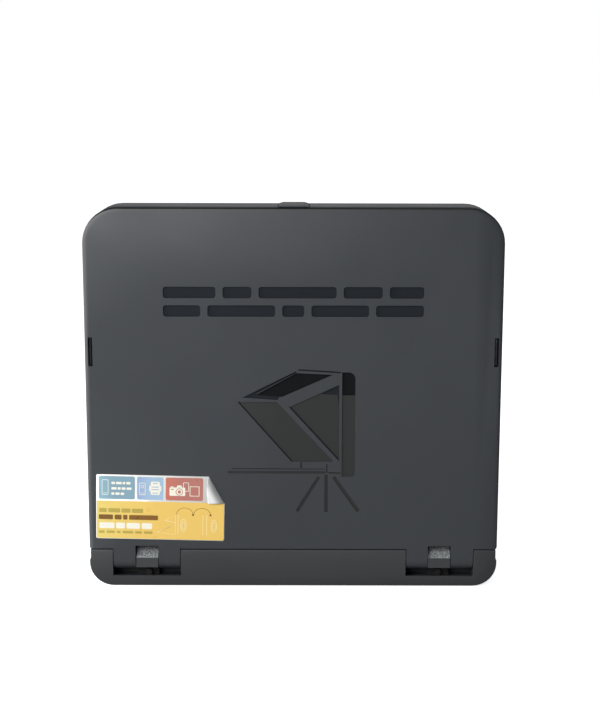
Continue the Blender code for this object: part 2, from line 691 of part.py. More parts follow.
def hood_parts():
    clamp = rectangle(-HOOD_HALF - 1.2, HOOD_Z[0] - 2, HOOD_HALF + 1.2, HOOD_Z[1] + 2.5, 2, 14)
    window = rectangle(2 - ROOM_HALF, 36, ROOM_HALF - 2, ROOM_TOP + 1)
    frame = piece("hood_retaining_frame", prism("Y", clamp, *CLAMP_Y), ABS_INNER)
    cut(frame, prism("Y", window, 0, 12))
    for spot in REAR_SCREWS:
        join(frame, rod("Y", spot, 3.6, CLAMP_Y[1] - 0.5, BACK_WALL - GAP))
        cut(frame, rod("Y", spot, SCREW_HOLE_R, 5.9, 15, SMALL))
    outer = rectangle(-HOOD_HALF, HOOD_Z[0], HOOD_HALF, HOOD_Z[1], 0, 14)
    room = rectangle(-ROOM_HALF, 30, ROOM_HALF, ROOM_TOP)
    hood = piece("hood", prism("Y", outer, *HOOD_Y), FABRIC)
    cut(hood, prism("Y", room, -10, 10))
    # clear of the shelf under the latch
    cut(hood, box((-14, -12, 221), (14, 6, 230)))
    ring = circle((0, LENS_Z), LENS_R + 9, FINE)
    opening = circle((0, LENS_Z), LENS_R, FINE)
    piece("lens_ring", prism("Y", ring, 7.2, 9.4, [opening]), ABS_INNER)
    edge = circle((0, LENS_Z), LENS_R + 6, FINE)
    hole = circle((0, LENS_Z), SLEEVE_HOLE_R, FINE)
    piece("lens_sleeve", prism("Y", edge, 9.7, 10.7, [hole]), FABRIC)


# ---------------------------------------------------------------- glass frame
GLASS_HALF = 105.0
GLASS_PANE_Z = (38.0, 209.0)
GLASS_PANE_Y = (-12.1, -10.1)
REBATE = 0.5  # wider than the glass by this much all round


def glass_frame():
    outer = rectangle(
        -GLASS_FRAME_HALF, 27.6, GLASS_FRAME_HALF, GLASS_FRAME_TOP, bottom=2.0, top=6.0
    )
    window = rectangle(-101, 42, 101, 205, 2, 2)
    frame = piece(
        "glass_frame", prism("Y", outer, GLASS_FRAME_FRONT, GLASS_FRAME_BACK), ABS_INNER, "glass"
    )
    cut(frame, prism("Y", window, -20, 0))
    seat_low = (-GLASS_HALF - REBATE, -20, GLASS_PANE_Z[0] - REBATE)
    seat_high = (GLASS_HALF + REBATE, GLASS_PANE_Y[1] + GAP, GLASS_PANE_Z[1] + REBATE)
    cut(frame, box(seat_low, seat_high))
    for _, side in SIDES:
        ends = span(side, 104.3, 115)
        cut(frame, rod("X", (GLASS_Y, GLASS_Z), PIVOT_PIN_R + PLAY, *ends))
    pane_low = (-GLASS_HALF, GLASS_PANE_Y[0], GLASS_PANE_Z[0])
    pane = box(pane_low, (GLASS_HALF, GLASS_PANE_Y[1], GLASS_PANE_Z[1]))
    piece("beam_splitter_glass", pane, GLASS, "glass")
    strips = {
        "top": (-108, 204.5, 108, 213),
        "bottom": (-108, 34, 108, 42.5),
        "left": (-108, 43, -100.5, 204),
        "right": (100.5, 43, 108, 204),
    }
    for name, (low_x, low_z, high_x, high_z) in strips.items():
        strip = rectangle(low_x, low_z, high_x, high_z, 1, 1)
        piece(f"glass_retainer_{name}", prism("Y", strip, -13.7, -12.7), ABS_INNER, "glass")


def glass_pivots():
    for name, side in SIDES:
        low, high = span(side, 115.7, HALF_WIDTH - WALL - GAP)
        cheek = rounded([(-13.0, 27.0, 1), (-4.8, 27.0, 1), (-4.8, 39.5, 3), (-13.0, 39.5, 3)])
        bracket = piece(f"glass_pivot_bracket_{name}", prism("X", cheek, low, high), CAST)
        cut(bracket, rod("X", (GLASS_Y, GLASS_Z), PIVOT_PIN_R + PLAY, low - 1, high + 1))
        low, high = span(side, 104.7, 120.4)
        pin = rod("X", (GLASS_Y, GLASS_Z), PIVOT_PIN_R, low, high)
        piece(f"glass_pivot_pin_{name}", pin, STEEL)
        radius, turns, per_turn = 3.1, 2.25, 10
        steps = round(turns * per_turn)
        spring = []
        for i in range(steps + 1):
            angle = math.tau * i / per_turn
            x = side * (113.0 + 1.9 * i / steps)
            y = GLASS_Y + radius * math.cos(angle)
            spring.append((x, y, GLASS_Z + radius * math.sin(angle)))
        # one leg lies back along the side of the frame, the other rests on the bracket
        first, last = spring[0], spring[-1]
        spring.insert(0, (first[0], first[1], first[2] - 5.0))
        spring.append((last[0], last[1] + 4.0, last[2]))
        wire(f"glass_spring_{name}", spring, 0.4, STEEL)


# ---------------------------------------------------------------- camera plate
def camera_plate():
    front, back = PLATE_Y - PLATE_THICK / 2, PLATE_Y + PLATE_THICK / 2
    outline = rectangle(-PLATE_HALF, PLATE_Z, PLATE_HALF, PLATE_TOP, 0, 9)

    def slot(half, reach):
        low, high = LENS_Z - reach, LENS_Z + reach
        upper = arc((0, high), half, 0, 180, ROUND)
        return upper + arc((0, low), half, 180, 360, ROUND)

    shape = prism("Y", outline, front, back)
    plate = piece("camera_plate", shape, ALUMINIUM, "camera_plate")
    join(plate, rod("X", (PLATE_Y, PLATE_Z), PLATE_THICK / 2, -PLATE_HALF, PLATE_HALF))
    cut(plate, prism("Y", slot(SLOT_HALF, SLOT_REACH + 3), 0, 30))
    recess = rectangle(-27.5, 46, 27.5, 137, 4, 4)
    cut(plate, prism("Y", recess, 0, front + 1.0))
    cut(plate, rod("X", (PLATE_Y, PLATE_Z), SMALL_PIN_R + PLAY, -40, 40, SMALL))
    outline = rectangle(-27.2, 46.3, 27.2, 136.7, 3.7, 3.7)
    hole = slot(SLOT_HALF + 2, SLOT_REACH + 3)
    pad = prism("Y", outline, front - 0.2, front + 0.7, [hole])
    piece("plate_pad", pad, RUBBER, "camera_plate")
    pin = rod("X", (PLATE_Y, PLATE_Z), SMALL_PIN_R, -PLATE_HALF - 4.1, PLATE_HALF + 4.1, SMALL)
    piece("plate_hinge_pin", pin, STEEL)
    spot = (0, SCREW_Z)
    washer = prism("Y", circle(spot, 5.2), front - 0.6, front + 0.7, [circle(spot, 3.4)])
    piece("screw_retainer", washer, STEEL, "camera_screw")
    head_top = HALF_DEPTH + 0.25
    screw = piece(
        "camera_screw", rod("Y", spot, 9.0, back + GAP, head_top, FINE), ALUMINIUM, "camera_screw"
    )
    join(screw, rod("Y", spot, 3.1, 10.0, head_top - 1))
    cut(screw, box((-7, head_top - 1.2, SCREW_Z - 0.8), (7, head_top + 1, SCREW_Z + 0.8)))


for make in (
    base_housing, base_plate, base_fittings, hinges, front_cover, cover_fittings, rear_housing,
    latch, closing_fittings, hood_parts, glass_frame, glass_pivots, camera_plate,
):
    make()
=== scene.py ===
"""Looks of the folding teleprompter, closed for carrying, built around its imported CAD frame.

X runs to the right as seen from the front, Y to the back and Z up, in metres. Every piece either is
a CAD node with rounded edges and a material, or replaces one and takes its place from the node's box.
"""

import json
import math

import bmesh
import bpy
import numpy as np
from mathutils import Matrix, Vector, noise


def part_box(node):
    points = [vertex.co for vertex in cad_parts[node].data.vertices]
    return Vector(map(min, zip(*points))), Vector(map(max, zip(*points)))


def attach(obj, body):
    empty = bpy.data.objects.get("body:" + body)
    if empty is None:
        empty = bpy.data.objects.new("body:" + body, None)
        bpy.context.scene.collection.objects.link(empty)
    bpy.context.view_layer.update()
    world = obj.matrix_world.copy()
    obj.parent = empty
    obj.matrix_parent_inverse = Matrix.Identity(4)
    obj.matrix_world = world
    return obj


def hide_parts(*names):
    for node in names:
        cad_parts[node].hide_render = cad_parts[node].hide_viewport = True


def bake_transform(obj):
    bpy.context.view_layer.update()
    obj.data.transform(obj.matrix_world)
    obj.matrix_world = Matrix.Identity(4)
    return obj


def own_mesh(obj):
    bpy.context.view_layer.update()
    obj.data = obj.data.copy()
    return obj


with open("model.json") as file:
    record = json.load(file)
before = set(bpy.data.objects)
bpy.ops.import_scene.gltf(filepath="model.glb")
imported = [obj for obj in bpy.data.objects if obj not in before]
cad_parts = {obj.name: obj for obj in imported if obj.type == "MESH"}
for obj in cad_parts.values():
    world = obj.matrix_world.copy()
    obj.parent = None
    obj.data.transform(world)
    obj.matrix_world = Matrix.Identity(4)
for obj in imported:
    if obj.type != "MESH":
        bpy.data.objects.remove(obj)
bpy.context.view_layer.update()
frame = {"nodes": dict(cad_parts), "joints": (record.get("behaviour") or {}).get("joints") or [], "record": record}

NODES = frame["nodes"]
JOINTS = {joint["name"]: joint for joint in frame["joints"]}
SLOTS = {part["node"]: part["material_slot"] for part in frame["record"]["subparts"]}
MM = 0.001
TURN = math.tau


def low(node):
    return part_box(node)[0]


def high(node):
    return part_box(node)[1]


def middle(node):
    return (low(node) + high(node)) / 2


# ---------------------------------------------------------------- camera, floor and light
CAMERA_PLACE = (0.0039, -0.8879, 0.3043)
CAMERA_DOWN = math.radians(10.66)
CAMERA_ROLL = math.radians(0.12)
CAMERA_LENS = 74.2


def camera():
    data = bpy.data.cameras.new("camera")
    data.lens = CAMERA_LENS
    eye = bpy.data.objects.new("camera", data)
    turn = Matrix.Rotation(math.pi / 2 - CAMERA_DOWN, 4, "X") @ Matrix.Rotation(CAMERA_ROLL, 4, "Z")
    eye.matrix_world = Matrix.Translation(CAMERA_PLACE) @ turn
    bpy.context.scene.collection.objects.link(eye)
    bpy.context.scene.camera = eye


LIGHTS = (  # name, place, size, watts
    ("key", (-0.8, -1.3, 0.95), (1.1, 1.1), 29.0),
    ("side", (-1.5, -0.2, 0.2), (0.7, 0.7), 26.0),
    ("rim", (0.2, 1.1, 1.0), (1.2, 0.6), 2.4),
)
AMBIENT = (0.45, 0.05)  # soft light from all round: how strong on the left and on the right
PURE_WHITE = (1.0, 1.0, 1.0, 1.0)
BACKGROUND = 1.0
FLOOR_GLOW = 0.85
FLOOR_RADIUS = 40.0
FLOOR_SHADE = (0.55, 0.55, 0.55, 1.0)  # how pale the floor is to the object


def area_light(name, place, aim, size, watts):
    data = bpy.data.lights.new(name, "AREA")
    data.shape = "RECTANGLE"
    data.size, data.size_y = size
    data.energy = watts
    lamp = bpy.data.objects.new(name, data)
    lamp.location = place
    lamp.rotation_euler = (Vector(aim) - Vector(place)).to_track_quat("-Z", "Y").to_euler()
    bpy.context.scene.collection.objects.link(lamp)


def camera_only(tree, seen, lit):
    """A mix of two shaders: the camera sees the first, and only the second lights the object."""
    ray = tree.nodes.new("ShaderNodeLightPath")
    mix = tree.nodes.new("ShaderNodeMixShader")
    tree.links.new(ray.outputs["Is Camera Ray"], mix.inputs[0])
    tree.links.new(lit, mix.inputs[1])
    tree.links.new(seen, mix.inputs[2])
    return mix.outputs[0]


def surroundings():
    """White behind the object, and a soft light all round it that is stronger on the left."""
    world = bpy.data.worlds.new("studio")
    world.use_nodes = True
    tree = world.node_tree
    ambient = tree.nodes["Background"]
    ambient.inputs["Color"].default_value = PURE_WHITE
    direction = tree.nodes.new("ShaderNodeSeparateXYZ")
    tree.links.new(tree.nodes.new("ShaderNodeTexCoord").outputs["Generated"], direction.inputs[0])
    falloff = tree.nodes.new("ShaderNodeMapRange")
    falloff.inputs["From Min"].default_value = -1.0
    falloff.inputs["To Min"].default_value, falloff.inputs["To Max"].default_value = AMBIENT
    tree.links.new(direction.outputs["X"], falloff.inputs["Value"])
    tree.links.new(falloff.outputs["Result"], ambient.inputs["Strength"])
    backdrop = tree.nodes.new("ShaderNodeBackground")
    backdrop.inputs["Color"].default_value = PURE_WHITE
    backdrop.inputs["Strength"].default_value = BACKGROUND
    both = camera_only(tree, backdrop.outputs[0], ambient.outputs[0])
    tree.links.new(both, tree.nodes["World Output"].inputs["Surface"])
    bpy.context.scene.world = world


def ground():
    """A wide floor that looks almost white and lights the object from below a little less."""
    bpy.ops.mesh.primitive_circle_add(vertices=96, radius=FLOOR_RADIUS, fill_type="NGON")
    floor = bpy.context.object
    floor.name = "floor"
    look = Look("floor", (0.9, 0.9, 0.9), 0.9, Specular_IOR_Level=0.0)
    look.shader.inputs["Emission Color"].default_value = PURE_WHITE
    look.shader.inputs["Emission Strength"].default_value = FLOOR_GLOW
    dim = look.tree.nodes.new("ShaderNodeBsdfDiffuse")
    dim.inputs["Color"].default_value = FLOOR_SHADE
    both = camera_only(look.tree, look.shader.outputs[0], dim.outputs[0])
    look.tree.links.new(both, look.tree.nodes["Material Output"].inputs["Surface"])
    floor.data.materials.append(look.material)


def studio():
    surroundings()
    bpy.context.scene.view_settings.view_transform = "Standard"
    aim = middle("front_cover")
    for name, place, size, watts in LIGHTS:
        area_light(name, place, aim, size, watts)
    ground()


# ---------------------------------------------------------------- materials
NOISE_SPAN = (0.3, 0.7)  # where nearly all values of a noise node lie


class Look:
    """A material as it is built: a Principled shader with short ways to add nodes in front of it."""

    def __init__(self, name, colour, roughness, **sockets):
        self.material = bpy.data.materials.new(name)
        self.material.use_nodes = True
        self.material.diffuse_color = (*colour, 1.0)
        self.tree = self.material.node_tree
        self.shader = self.tree.nodes["Principled BSDF"]
        self.shader.inputs["Base Color"].default_value = (*colour, 1.0)
        self.shader.inputs["Roughness"].default_value = roughness
        for socket, value in sockets.items():
            self.shader.inputs[socket.replace("_", " ")].default_value = value
        self.colour = colour

    def add(self, kind, output, inputs, **settings):
        """A node of this kind, its inputs set or joined, and the output that is wanted of it."""
        made = self.tree.nodes.new("ShaderNode" + kind)
        for name, value in settings.items():
            setattr(made, name, value)
        for socket, value in inputs.items():
            if isinstance(value, bpy.types.NodeSocket):
                self.tree.links.new(value, made.inputs[socket])
            else:
                made.inputs[socket].default_value = value
        return made.outputs[output]

    def place(self):
        """The point on the piece, in metres."""
        return self.add("TexCoord", "Object", {})

    def axis(self, name):
        return self.add("SeparateXYZ", name, {"Vector": self.place()})

    def uv(self):
        return self.add("TexCoord", "UV", {})

    def noise(self, size, detail=2.0, where=None):
        """Noise from 0 to 1 whose spots are about this many metres across."""
        inputs = {"Vector": where or self.place(), "Scale": 1 / size, "Detail": detail}
        return self.add("TexNoise", "Fac", inputs)

    def stretch(self, value, old_low, old_high, new_low=0.0, new_high=1.0, smooth=False):
        inputs = {"Value": value, "From Min": old_low, "From Max": old_high}
        inputs.update({"To Min": new_low, "To Max": new_high})
        kind = "SMOOTHSTEP" if smooth else "LINEAR"
        return self.add("MapRange", "Result", inputs, interpolation_type=kind)

    def cloud(self, size, detail, weakest=0.0, strongest=1.0, where=None):
        """Soft-edged patches of this size, whose value runs from the weakest to the strongest."""
        return self.stretch(self.noise(size, detail, where), *NOISE_SPAN, weakest, strongest)

    def math(self, operation, a, b=0.0):
        return self.add("Math", 0, {0: a, 1: b}, operation=operation)

    def blend(self, factor, a, b):
        """Colour a where the factor is 0, b where it is 1."""
        colours = [(*c, 1.0) if isinstance(c, tuple) and len(c) == 3 else c for c in (a, b)]
        inputs = {0: factor, 6: colours[0], 7: colours[1]}
        return self.add("Mix", 2, inputs, data_type="RGBA")

    def paint(self, socket, value):
        self.tree.links.new(value, self.shader.inputs[socket])

    def mottle(self, size, amount):
        """Colour that wanders by this share lighter and darker over spots of this size."""
        dark = tuple(c * (1 - amount) for c in self.colour)
        light = tuple(c * (1 + amount) for c in self.colour)
        return self.blend(self.cloud(size, 3.0), dark, light)

    def relief(self, height, strength, depth):
        """A bump of this depth in metres."""
        inputs = {"Height": height, "Strength": strength, "Distance": depth}
        self.paint("Normal", self.add("Bump", "Normal", inputs))


ABS_COLOUR = (0.030, 0.034, 0.0395)
BAR_COLOUR = (0.026, 0.028, 0.0312)
PLASTIC_GLOSS = 0.45
CASE_ROUGHNESS = 0.48
CASE_MOTTLE = (60 * MM, 0.06)  # size of a patch and how much lighter or darker it is
# painted light and shade on the cover's rim: paler on the left, where the light falls, and darker on the right
EDGE_LIGHT_LEFT = (0.085, 0.087, 0.091)
EDGE_LIGHT_TOP = (0.047, 0.049, 0.052)
EDGE_SHADE_RIGHT = (0.021, 0.0235, 0.027)
# painted shade for the seam between the cover and the rear housing, dark and with little gloss
SEAM_SHADE_COLOUR = (0.013, 0.0138, 0.015)
SEAM_SHADE_GLOSS = 0.03
COVER_CORNER = 21 * MM
EDGES_AT = (-125 * MM, -95 * MM, 125 * MM)  # X where the rim has each of the three colours of painted light and shade


def moulded(name, colour, roughness):
    """Moulded plastic with a fine spark-eroded grain."""
    look = Look(name, colour, roughness, Specular_IOR_Level=PLASTIC_GLOSS)
    look.paint("Roughness", look.cloud(45 * MM, 4.0, roughness - 0.05, roughness + 0.05))
    look.relief(look.noise(0.5 * MM), 0.25, 0.06 * MM)
    return look


def case_abs(name, colour):
    look = moulded(name, colour, CASE_ROUGHNESS)
    look.paint("Base Color", look.mottle(*CASE_MOTTLE))
    return look


def recess_colour(name, left, right):
    """Matt colour on the floor of a recess, with painted light: paler on the left of the cover than on the right.
    """
    look = Look(name, left, 0.75, Specular_IOR_Level=0.12)
    # painted light: the colour runs from paler on the left to darker on the right
    run = look.stretch(look.axis("X"), -30 * MM, 40 * MM)
    patch = look.math("MULTIPLY_ADD", look.noise(8 * MM, 3.0), 0.3)
    look.paint("Base Color", look.blend(look.math("ADD", run, patch), left, right))
    look.relief(look.noise(0.5 * MM), 0.2, 0.05 * MM)
    return look


def past_corner_centre(look, corner):
    """How far a point of the cover lies outside the lines through its round corners' centres."""
    across = look.math("ABSOLUTE", look.axis("X"))
    beyond = []
    for value, edge in ((across, corner.x), (look.axis("Z"), corner.z)):
        past = look.math("MAXIMUM", look.math("SUBTRACT", value, edge - COVER_CORNER), 0.0)
        beyond.append(look.math("POWER", past, 2.0))
    return look.math("SQRT", look.math("ADD", *beyond))


def cover_abs():
    """The cover's plastic, with its rim painted paler on the left and darker on the right as light and shade, and
    a painted dark line of shade along the top.
    """
    look = moulded("cover_abs", ABS_COLOUR, CASE_ROUGHNESS)
    corner = high("front_cover")
    out = past_corner_centre(look, corner)
    rim = look.stretch(out, COVER_CORNER - 3.4 * MM, COVER_CORNER - 1.0 * MM, smooth=True)
    patchy = look.cloud(14 * MM, 3.0, 0.8, 1.0)
    # painted light and shade along the front of the rim, with random patches: paler towards the left, darker
    # towards the right
    far_left, left, right = EDGES_AT
    first = look.blend(look.stretch(look.axis("X"), far_left, left), EDGE_LIGHT_LEFT, EDGE_LIGHT_TOP)
    painted_edge_light = look.blend(look.stretch(look.axis("X"), left, right), first, EDGE_SHADE_RIGHT)
    behind = look.math("SUBTRACT", look.axis("Y"), low("front_cover").y)
    front = look.stretch(behind, 1.2 * MM, 3.0 * MM, 1.0, 0.0, smooth=True)
    painted_edge_mask = look.math("MULTIPLY", look.math("MULTIPLY", rim, patchy), front)
    plastic = look.blend(painted_edge_mask, look.mottle(*CASE_MOTTLE), painted_edge_light)
    # painted shade: a dark line where the cover meets the rear housing, which fades out down the round corners
    crest = look.stretch(look.axis("Z"), corner.z - 12 * MM, corner.z - 3 * MM, smooth=True)
    outermost = look.stretch(out, COVER_CORNER - 0.95 * MM, COVER_CORNER - 0.75 * MM)
    painted_seam_shade = look.math("MULTIPLY", crest, outermost)
    look.paint("Base Color", look.blend(painted_seam_shade, plastic, SEAM_SHADE_COLOUR))
    look.paint("Specular IOR Level", look.stretch(painted_seam_shade, 0.0, 1.0, PLASTIC_GLOSS, SEAM_SHADE_GLOSS))
    return look


def inner_abs():
    look = moulded("inner_abs", (0.022, 0.022, 0.024), 0.55)
    look.paint("Base Color", look.mottle(30 * MM, 0.12))
    return look


def cast_metal():
    """Unpolished casting: bright and dark grains a millimetre across."""
    look = Look("cast_metal", (0.2, 0.215, 0.23), 0.5, Metallic=0.35)
    grains = look.stretch(look.noise(0.9 * MM, 3.0), 0.35, 0.65)
    look.paint("Base Color", look.blend(grains, (0.075, 0.082, 0.086), (0.4, 0.42, 0.435)))
    look.paint("Roughness", look.stretch(grains, 0, 1, 0.6, 0.38))
    look.relief(grains, 0.5, 0.12 * MM)
    return look


def steel():
    """Turned and zinc-plated steel, with fine tool marks and a few duller patches."""
    look = Look("steel", (0.42, 0.43, 0.44), 0.3, Metallic=1.0)
    look.paint("Base Color", look.mottle(4 * MM, 0.15))
    look.paint("Roughness", look.cloud(6 * MM, 3.0, 0.22, 0.42))
    look.relief(look.noise(0.25 * MM), 0.3, 0.02 * MM)
    return look


def magnet():
    look = Look("magnet", (0.55, 0.55, 0.57), 0.16, Metallic=1.0)
    look.paint("Base Color", look.mottle(3 * MM, 0.05))
    look.paint("Roughness", look.cloud(1.5 * MM, 4.0, 0.1, 0.26))
    look.relief(look.noise(0.8 * MM, 3.0), 0.15, 0.02 * MM)
    return look


def anodised():
    look = Look("anodised", (0.03, 0.03, 0.034), 0.38, Metallic=0.75)
    look.paint("Base Color", look.mottle(12 * MM, 0.15))
    look.paint("Roughness", look.cloud(9 * MM, 4.0, 0.32, 0.46))
    look.relief(look.noise(0.3 * MM), 0.35, 0.03 * MM)
    return look


def rubber():
    look = Look("rubber", (0.016, 0.016, 0.017), 0.82, Specular_IOR_Level=0.3)
    look.paint("Base Color", look.mottle(5 * MM, 0.3))
    look.paint("Roughness", look.cloud(3 * MM, 4.0, 0.74, 0.9))
    look.relief(look.noise(0.35 * MM, 3.0), 0.4, 0.05 * MM)
    return look


def woven(name, colour, thread, sheen=0.35):
    """Plain weave over the piece's own UV map, which is in metres, with threads this far apart."""
    look = Look(name, colour, 0.85, Specular_IOR_Level=0.25, Sheen_Weight=sheen, Sheen_Roughness=0.45)
    waves = []
    for axis in "XY":
        along = look.add("SeparateXYZ", axis, {"Vector": look.uv()})
        waves.append(look.math("SINE", look.math("MULTIPLY", along, math.pi / thread)))
    height = look.stretch(look.math("MULTIPLY", *waves), -1.0, 1.0)
    tone = look.math("MULTIPLY", height, look.cloud(thread * 6, 3.0, 0.6, 1.0, look.uv()))
    dark = tuple(c * 0.55 for c in colour)
    light = tuple(c * 1.5 for c in colour)
    look.paint("Base Color", look.blend(tone, dark, light))
    look.relief(tone, 0.6, thread * 0.35)
    return look


def felt():
    """Short pile: a tangle of fine fibres under a soft sheen."""
    look = Look(
        "felt", (0.022, 0.022, 0.024), 0.95, Specular_IOR_Level=0.15,
        Sheen_Weight=0.7, Sheen_Roughness=0.6,
    )
    tone = look.math("MULTIPLY", look.noise(0.4 * MM, 5.0), look.cloud(5 * MM, 3.0, 0.7, 1.0))
    pile = look.stretch(tone, 0.2, 0.6)
    look.paint("Base Color", look.blend(pile, (0.011, 0.011, 0.012), (0.045, 0.045, 0.048)))
    look.relief(tone, 0.8, 0.25 * MM)
    return look


def glass():
    """Half-silvered glass: clear, with a faint mirror on it."""
    look = Look(
        "glass", (0.72, 0.78, 0.78), 0.02, Transmission_Weight=0.75, IOR=1.9, Metallic=0.15,
        Coat_Weight=0.6, Coat_Roughness=0.02,
    )
    look.paint("Roughness", look.stretch(look.noise(25 * MM, 5.0), 0.4, 0.7, 0.012, 0.04))
    return look


camera()
studio()
LOOKS = {
    "case_abs": case_abs("case_abs", ABS_COLOUR),
    "inner_abs": inner_abs(),
    "cast_metal": cast_metal(),
    "steel": steel(),
    "magnet": magnet(),
    "anodised": anodised(),
    "rubber": rubber(),
    "felt": felt(),
    "glass": glass(),
    "fabric": woven("fabric", (0.012, 0.012, 0.0135), 0.32 * MM),
    "elastic": woven("elastic", (0.016, 0.016, 0.018), 0.5 * MM, 0.2),
}
# painted shade in the recesses: the middle and deep colours are darker, the deeper the recess lies
SHALLOW_RECESS = recess_colour("recess_grey_painted_light", (0.046, 0.046, 0.047), (0.03, 0.031, 0.031))
MIDDLE_RECESS_SHADE = recess_colour("recess_painted_shade", (0.015, 0.018, 0.024), (0.012, 0.0145, 0.018))
DEEP_RECESS_SHADE = recess_colour("recess_painted_deep_shade", (0.005, 0.0055, 0.007), (0.004, 0.0045, 0.006))
BLOCK_PAINT = moulded("block_paint", (0.034, 0.036, 0.04), 0.5)
# painted shade: near-black for the parts that sit in the dark gap under the hinge blocks
SHADE_PAINT = moulded("painted_shade", (0.006, 0.006, 0.007), 0.7)
SPECIAL_LOOKS = {
    "front_cover": cover_abs(),
    "base_housing": case_abs("bar_abs", BAR_COLOUR),
    # the hinge screws in the dark gap are painted near-black as shade
    "hinge_screw_left": SHADE_PAINT,
    "hinge_screw_right": SHADE_PAINT,
}


# ---------------------------------------------------------------- CAD nodes with softened edges
EDGE_RADIUS = {"steel": 0.12 * MM, "magnet": 0.2 * MM, "glass": 0.15 * MM, "rubber": 0.3 * MM}
OTHER_RADIUS = 0.25 * MM
EDGE_ANGLE = 32  # degrees between two faces, above which their edge is rounded
EDGE_ANGLES = {"latch_tab": 10}
WELD_GAP = 0.08 * MM
FLAT_ANGLE = 0.3  # degrees between two faces, below which they become one


def soften(node, look, radius, angle):
    """Rounds the edges of a CAD node as its own modifiers, so that its solid stays what it is."""
    thing = NODES[node]
    mesh = thing.data
    for name in ("custom_normal", "sharp_edge", "sharp_face"):
        if name in mesh.attributes:
            mesh.attributes.remove(mesh.attributes[name])
    mesh.materials.clear()
    mesh.materials.append(look.material)
    weld = thing.modifiers.new("Weld", "WELD")
    weld.merge_threshold = WELD_GAP
    flat = thing.modifiers.new("Flat faces", "DECIMATE")
    flat.decimate_type = "DISSOLVE"
    flat.angle_limit = math.radians(FLAT_ANGLE)
    bevel = thing.modifiers.new("Edges", "BEVEL")
    bevel.width = radius
    bevel.segments = 2
    bevel.limit_method = "ANGLE"
    bevel.angle_limit = math.radians(angle)
    bevel.harden_normals = True


PANEL_HALF = 0.1  # the recesses lie in this part of the cover's face, in metres
PANEL_BOTTOM, PANEL_TOP = 0.04, 0.2
PANEL_SKIN = 1.6 * MM
SHALLOWEST = 0.1 * MM
DARKER_BELOW = (0.55 * MM, 0.8 * MM)  # depths at which the second and the third colour begin, darker as painted shade


def shade_recesses():
    """Colours the recesses in the cover's face with painted shade, the deeper the blacker."""
    mesh = NODES["front_cover"].data
    for look in (SHALLOW_RECESS, MIDDLE_RECESS_SHADE, DEEP_RECESS_SHADE):
        mesh.materials.append(look.material)
    face = low("front_cover").y
    for polygon in mesh.polygons:
        x, y, z = polygon.center
        depth = y - face
        on_panel = abs(x) < PANEL_HALF and PANEL_BOTTOM < z < PANEL_TOP
        if on_panel and SHALLOWEST < depth < PANEL_SKIN:
            polygon.material_index = 1 + sum(depth >= limit for limit in DARKER_BELOW)


# SHADED is painted shade: near-black below a block's underside
CAST, PAINTED, SHADED = range(3)


def paint_blocks():
    """Only the sloping face of a hinge block is left as it was cast. The rest of it is painted, and below its
    underside it is painted near-black as shade.
    """
    for side in ("left", "right"):
        mesh = NODES["hinge_block_" + side].data
        mesh.materials.append(BLOCK_PAINT.material)
        mesh.materials.append(SHADE_PAINT.material)
        pin = middle("hinge_pin_" + side)
        undersides = [
            polygon.center.z for polygon in mesh.polygons
            if polygon.normal.z < -0.9 and (polygon.center - pin).yz.length > 3 * MM
        ]
        for polygon in mesh.polygons:
            slopes = polygon.normal.y < -0.3 and polygon.normal.z > 0.3
            below = polygon.center.z < max(undersides) + 0.1 * MM
            polygon.material_index = CAST if slopes else SHADED if below else PAINTED


for node in NODES:
    slot = SLOTS[node]
    if slot in LOOKS:
        look = SPECIAL_LOOKS.get(node, LOOKS[slot])
        soften(node, look, EDGE_RADIUS.get(slot, OTHER_RADIUS), EDGE_ANGLES.get(node, EDGE_ANGLE))
shade_recesses()
paint_blocks()


# ---------------------------------------------------------------- building meshes
SMOOTH = math.radians(35)
CLOTH_SMOOTH = math.radians(60)
HEM_SMOOTH = math.radians(70)


def finish(name, shape, body, look, nodes=(), smooth=SMOOTH):
    """A bmesh in metres becomes a piece that rides on a body and stands for CAD nodes."""
    mesh = bpy.data.meshes.new(name)
    shape.to_mesh(mesh)
    shape.free()
    thing = bpy.data.objects.new(name, mesh)
    bpy.context.scene.collection.objects.link(thing)
    for one in look if isinstance(look, list) else [look]:
        mesh.materials.append(one.material)
    mesh.polygons.foreach_set("use_smooth", [True] * len(mesh.polygons))
    mesh.set_sharp_from_angle(angle=smooth)
    if body:
        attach(thing, body)
    if nodes:
        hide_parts(*nodes)
    return thing


def thicken(sheet, thickness, offset=0.0):
    """Gives a sheet its thickness: half on each side, or all behind it where the offset is -1."""
    solid = sheet.modifiers.new("Thickness", "SOLIDIFY")
    solid.thickness = thickness
    solid.offset = offset


def outward(shape):
    bmesh.ops.recalc_face_normals(shape, faces=shape.faces)


def run_along(points):
    """How far along a row of points each of them lies."""
    run = [0.0]
    for a, b in zip(points, points[1:]):
        run.append(run[-1] + math.dist(a, b))
    return run


def arc(centre, radius, start, stop, steps):
    """Points (u, v) of an arc between two angles in degrees, both ends included."""
    angles = [math.radians(start + (stop - start) * i / steps) for i in range(steps + 1)]
    return [(centre[0] + radius * math.cos(a), centre[1] + radius * math.sin(a)) for a in angles]


def rounded_box(low_u, low_v, high_u, high_v, radius, steps=6):
    """The outline of a rectangle with round corners, anticlockwise from the lower right."""
    left, right, bottom, top = low_u + radius, high_u - radius, low_v + radius, high_v - radius
    corners = (((right, bottom), -90), ((right, top), 0), ((left, top), 90), ((left, bottom), 180))
    points = []
    for centre, start in corners:
        points += arc(centre, radius, start, start + 90, steps)
    return points


def grid(rows, closed=False):
    """A sheet through rows of points, each as long as the next. closed joins each row's ends."""
    shape = bmesh.new()
    knots = [[shape.verts.new(point) for point in row] for row in rows]
    length = len(rows[0])
    for here, there in zip(knots, knots[1:]):
        for i in range(length if closed else length - 1):
            j = (i + 1) % length
            shape.faces.new((here[i], here[j], there[j], there[i]))
    return shape


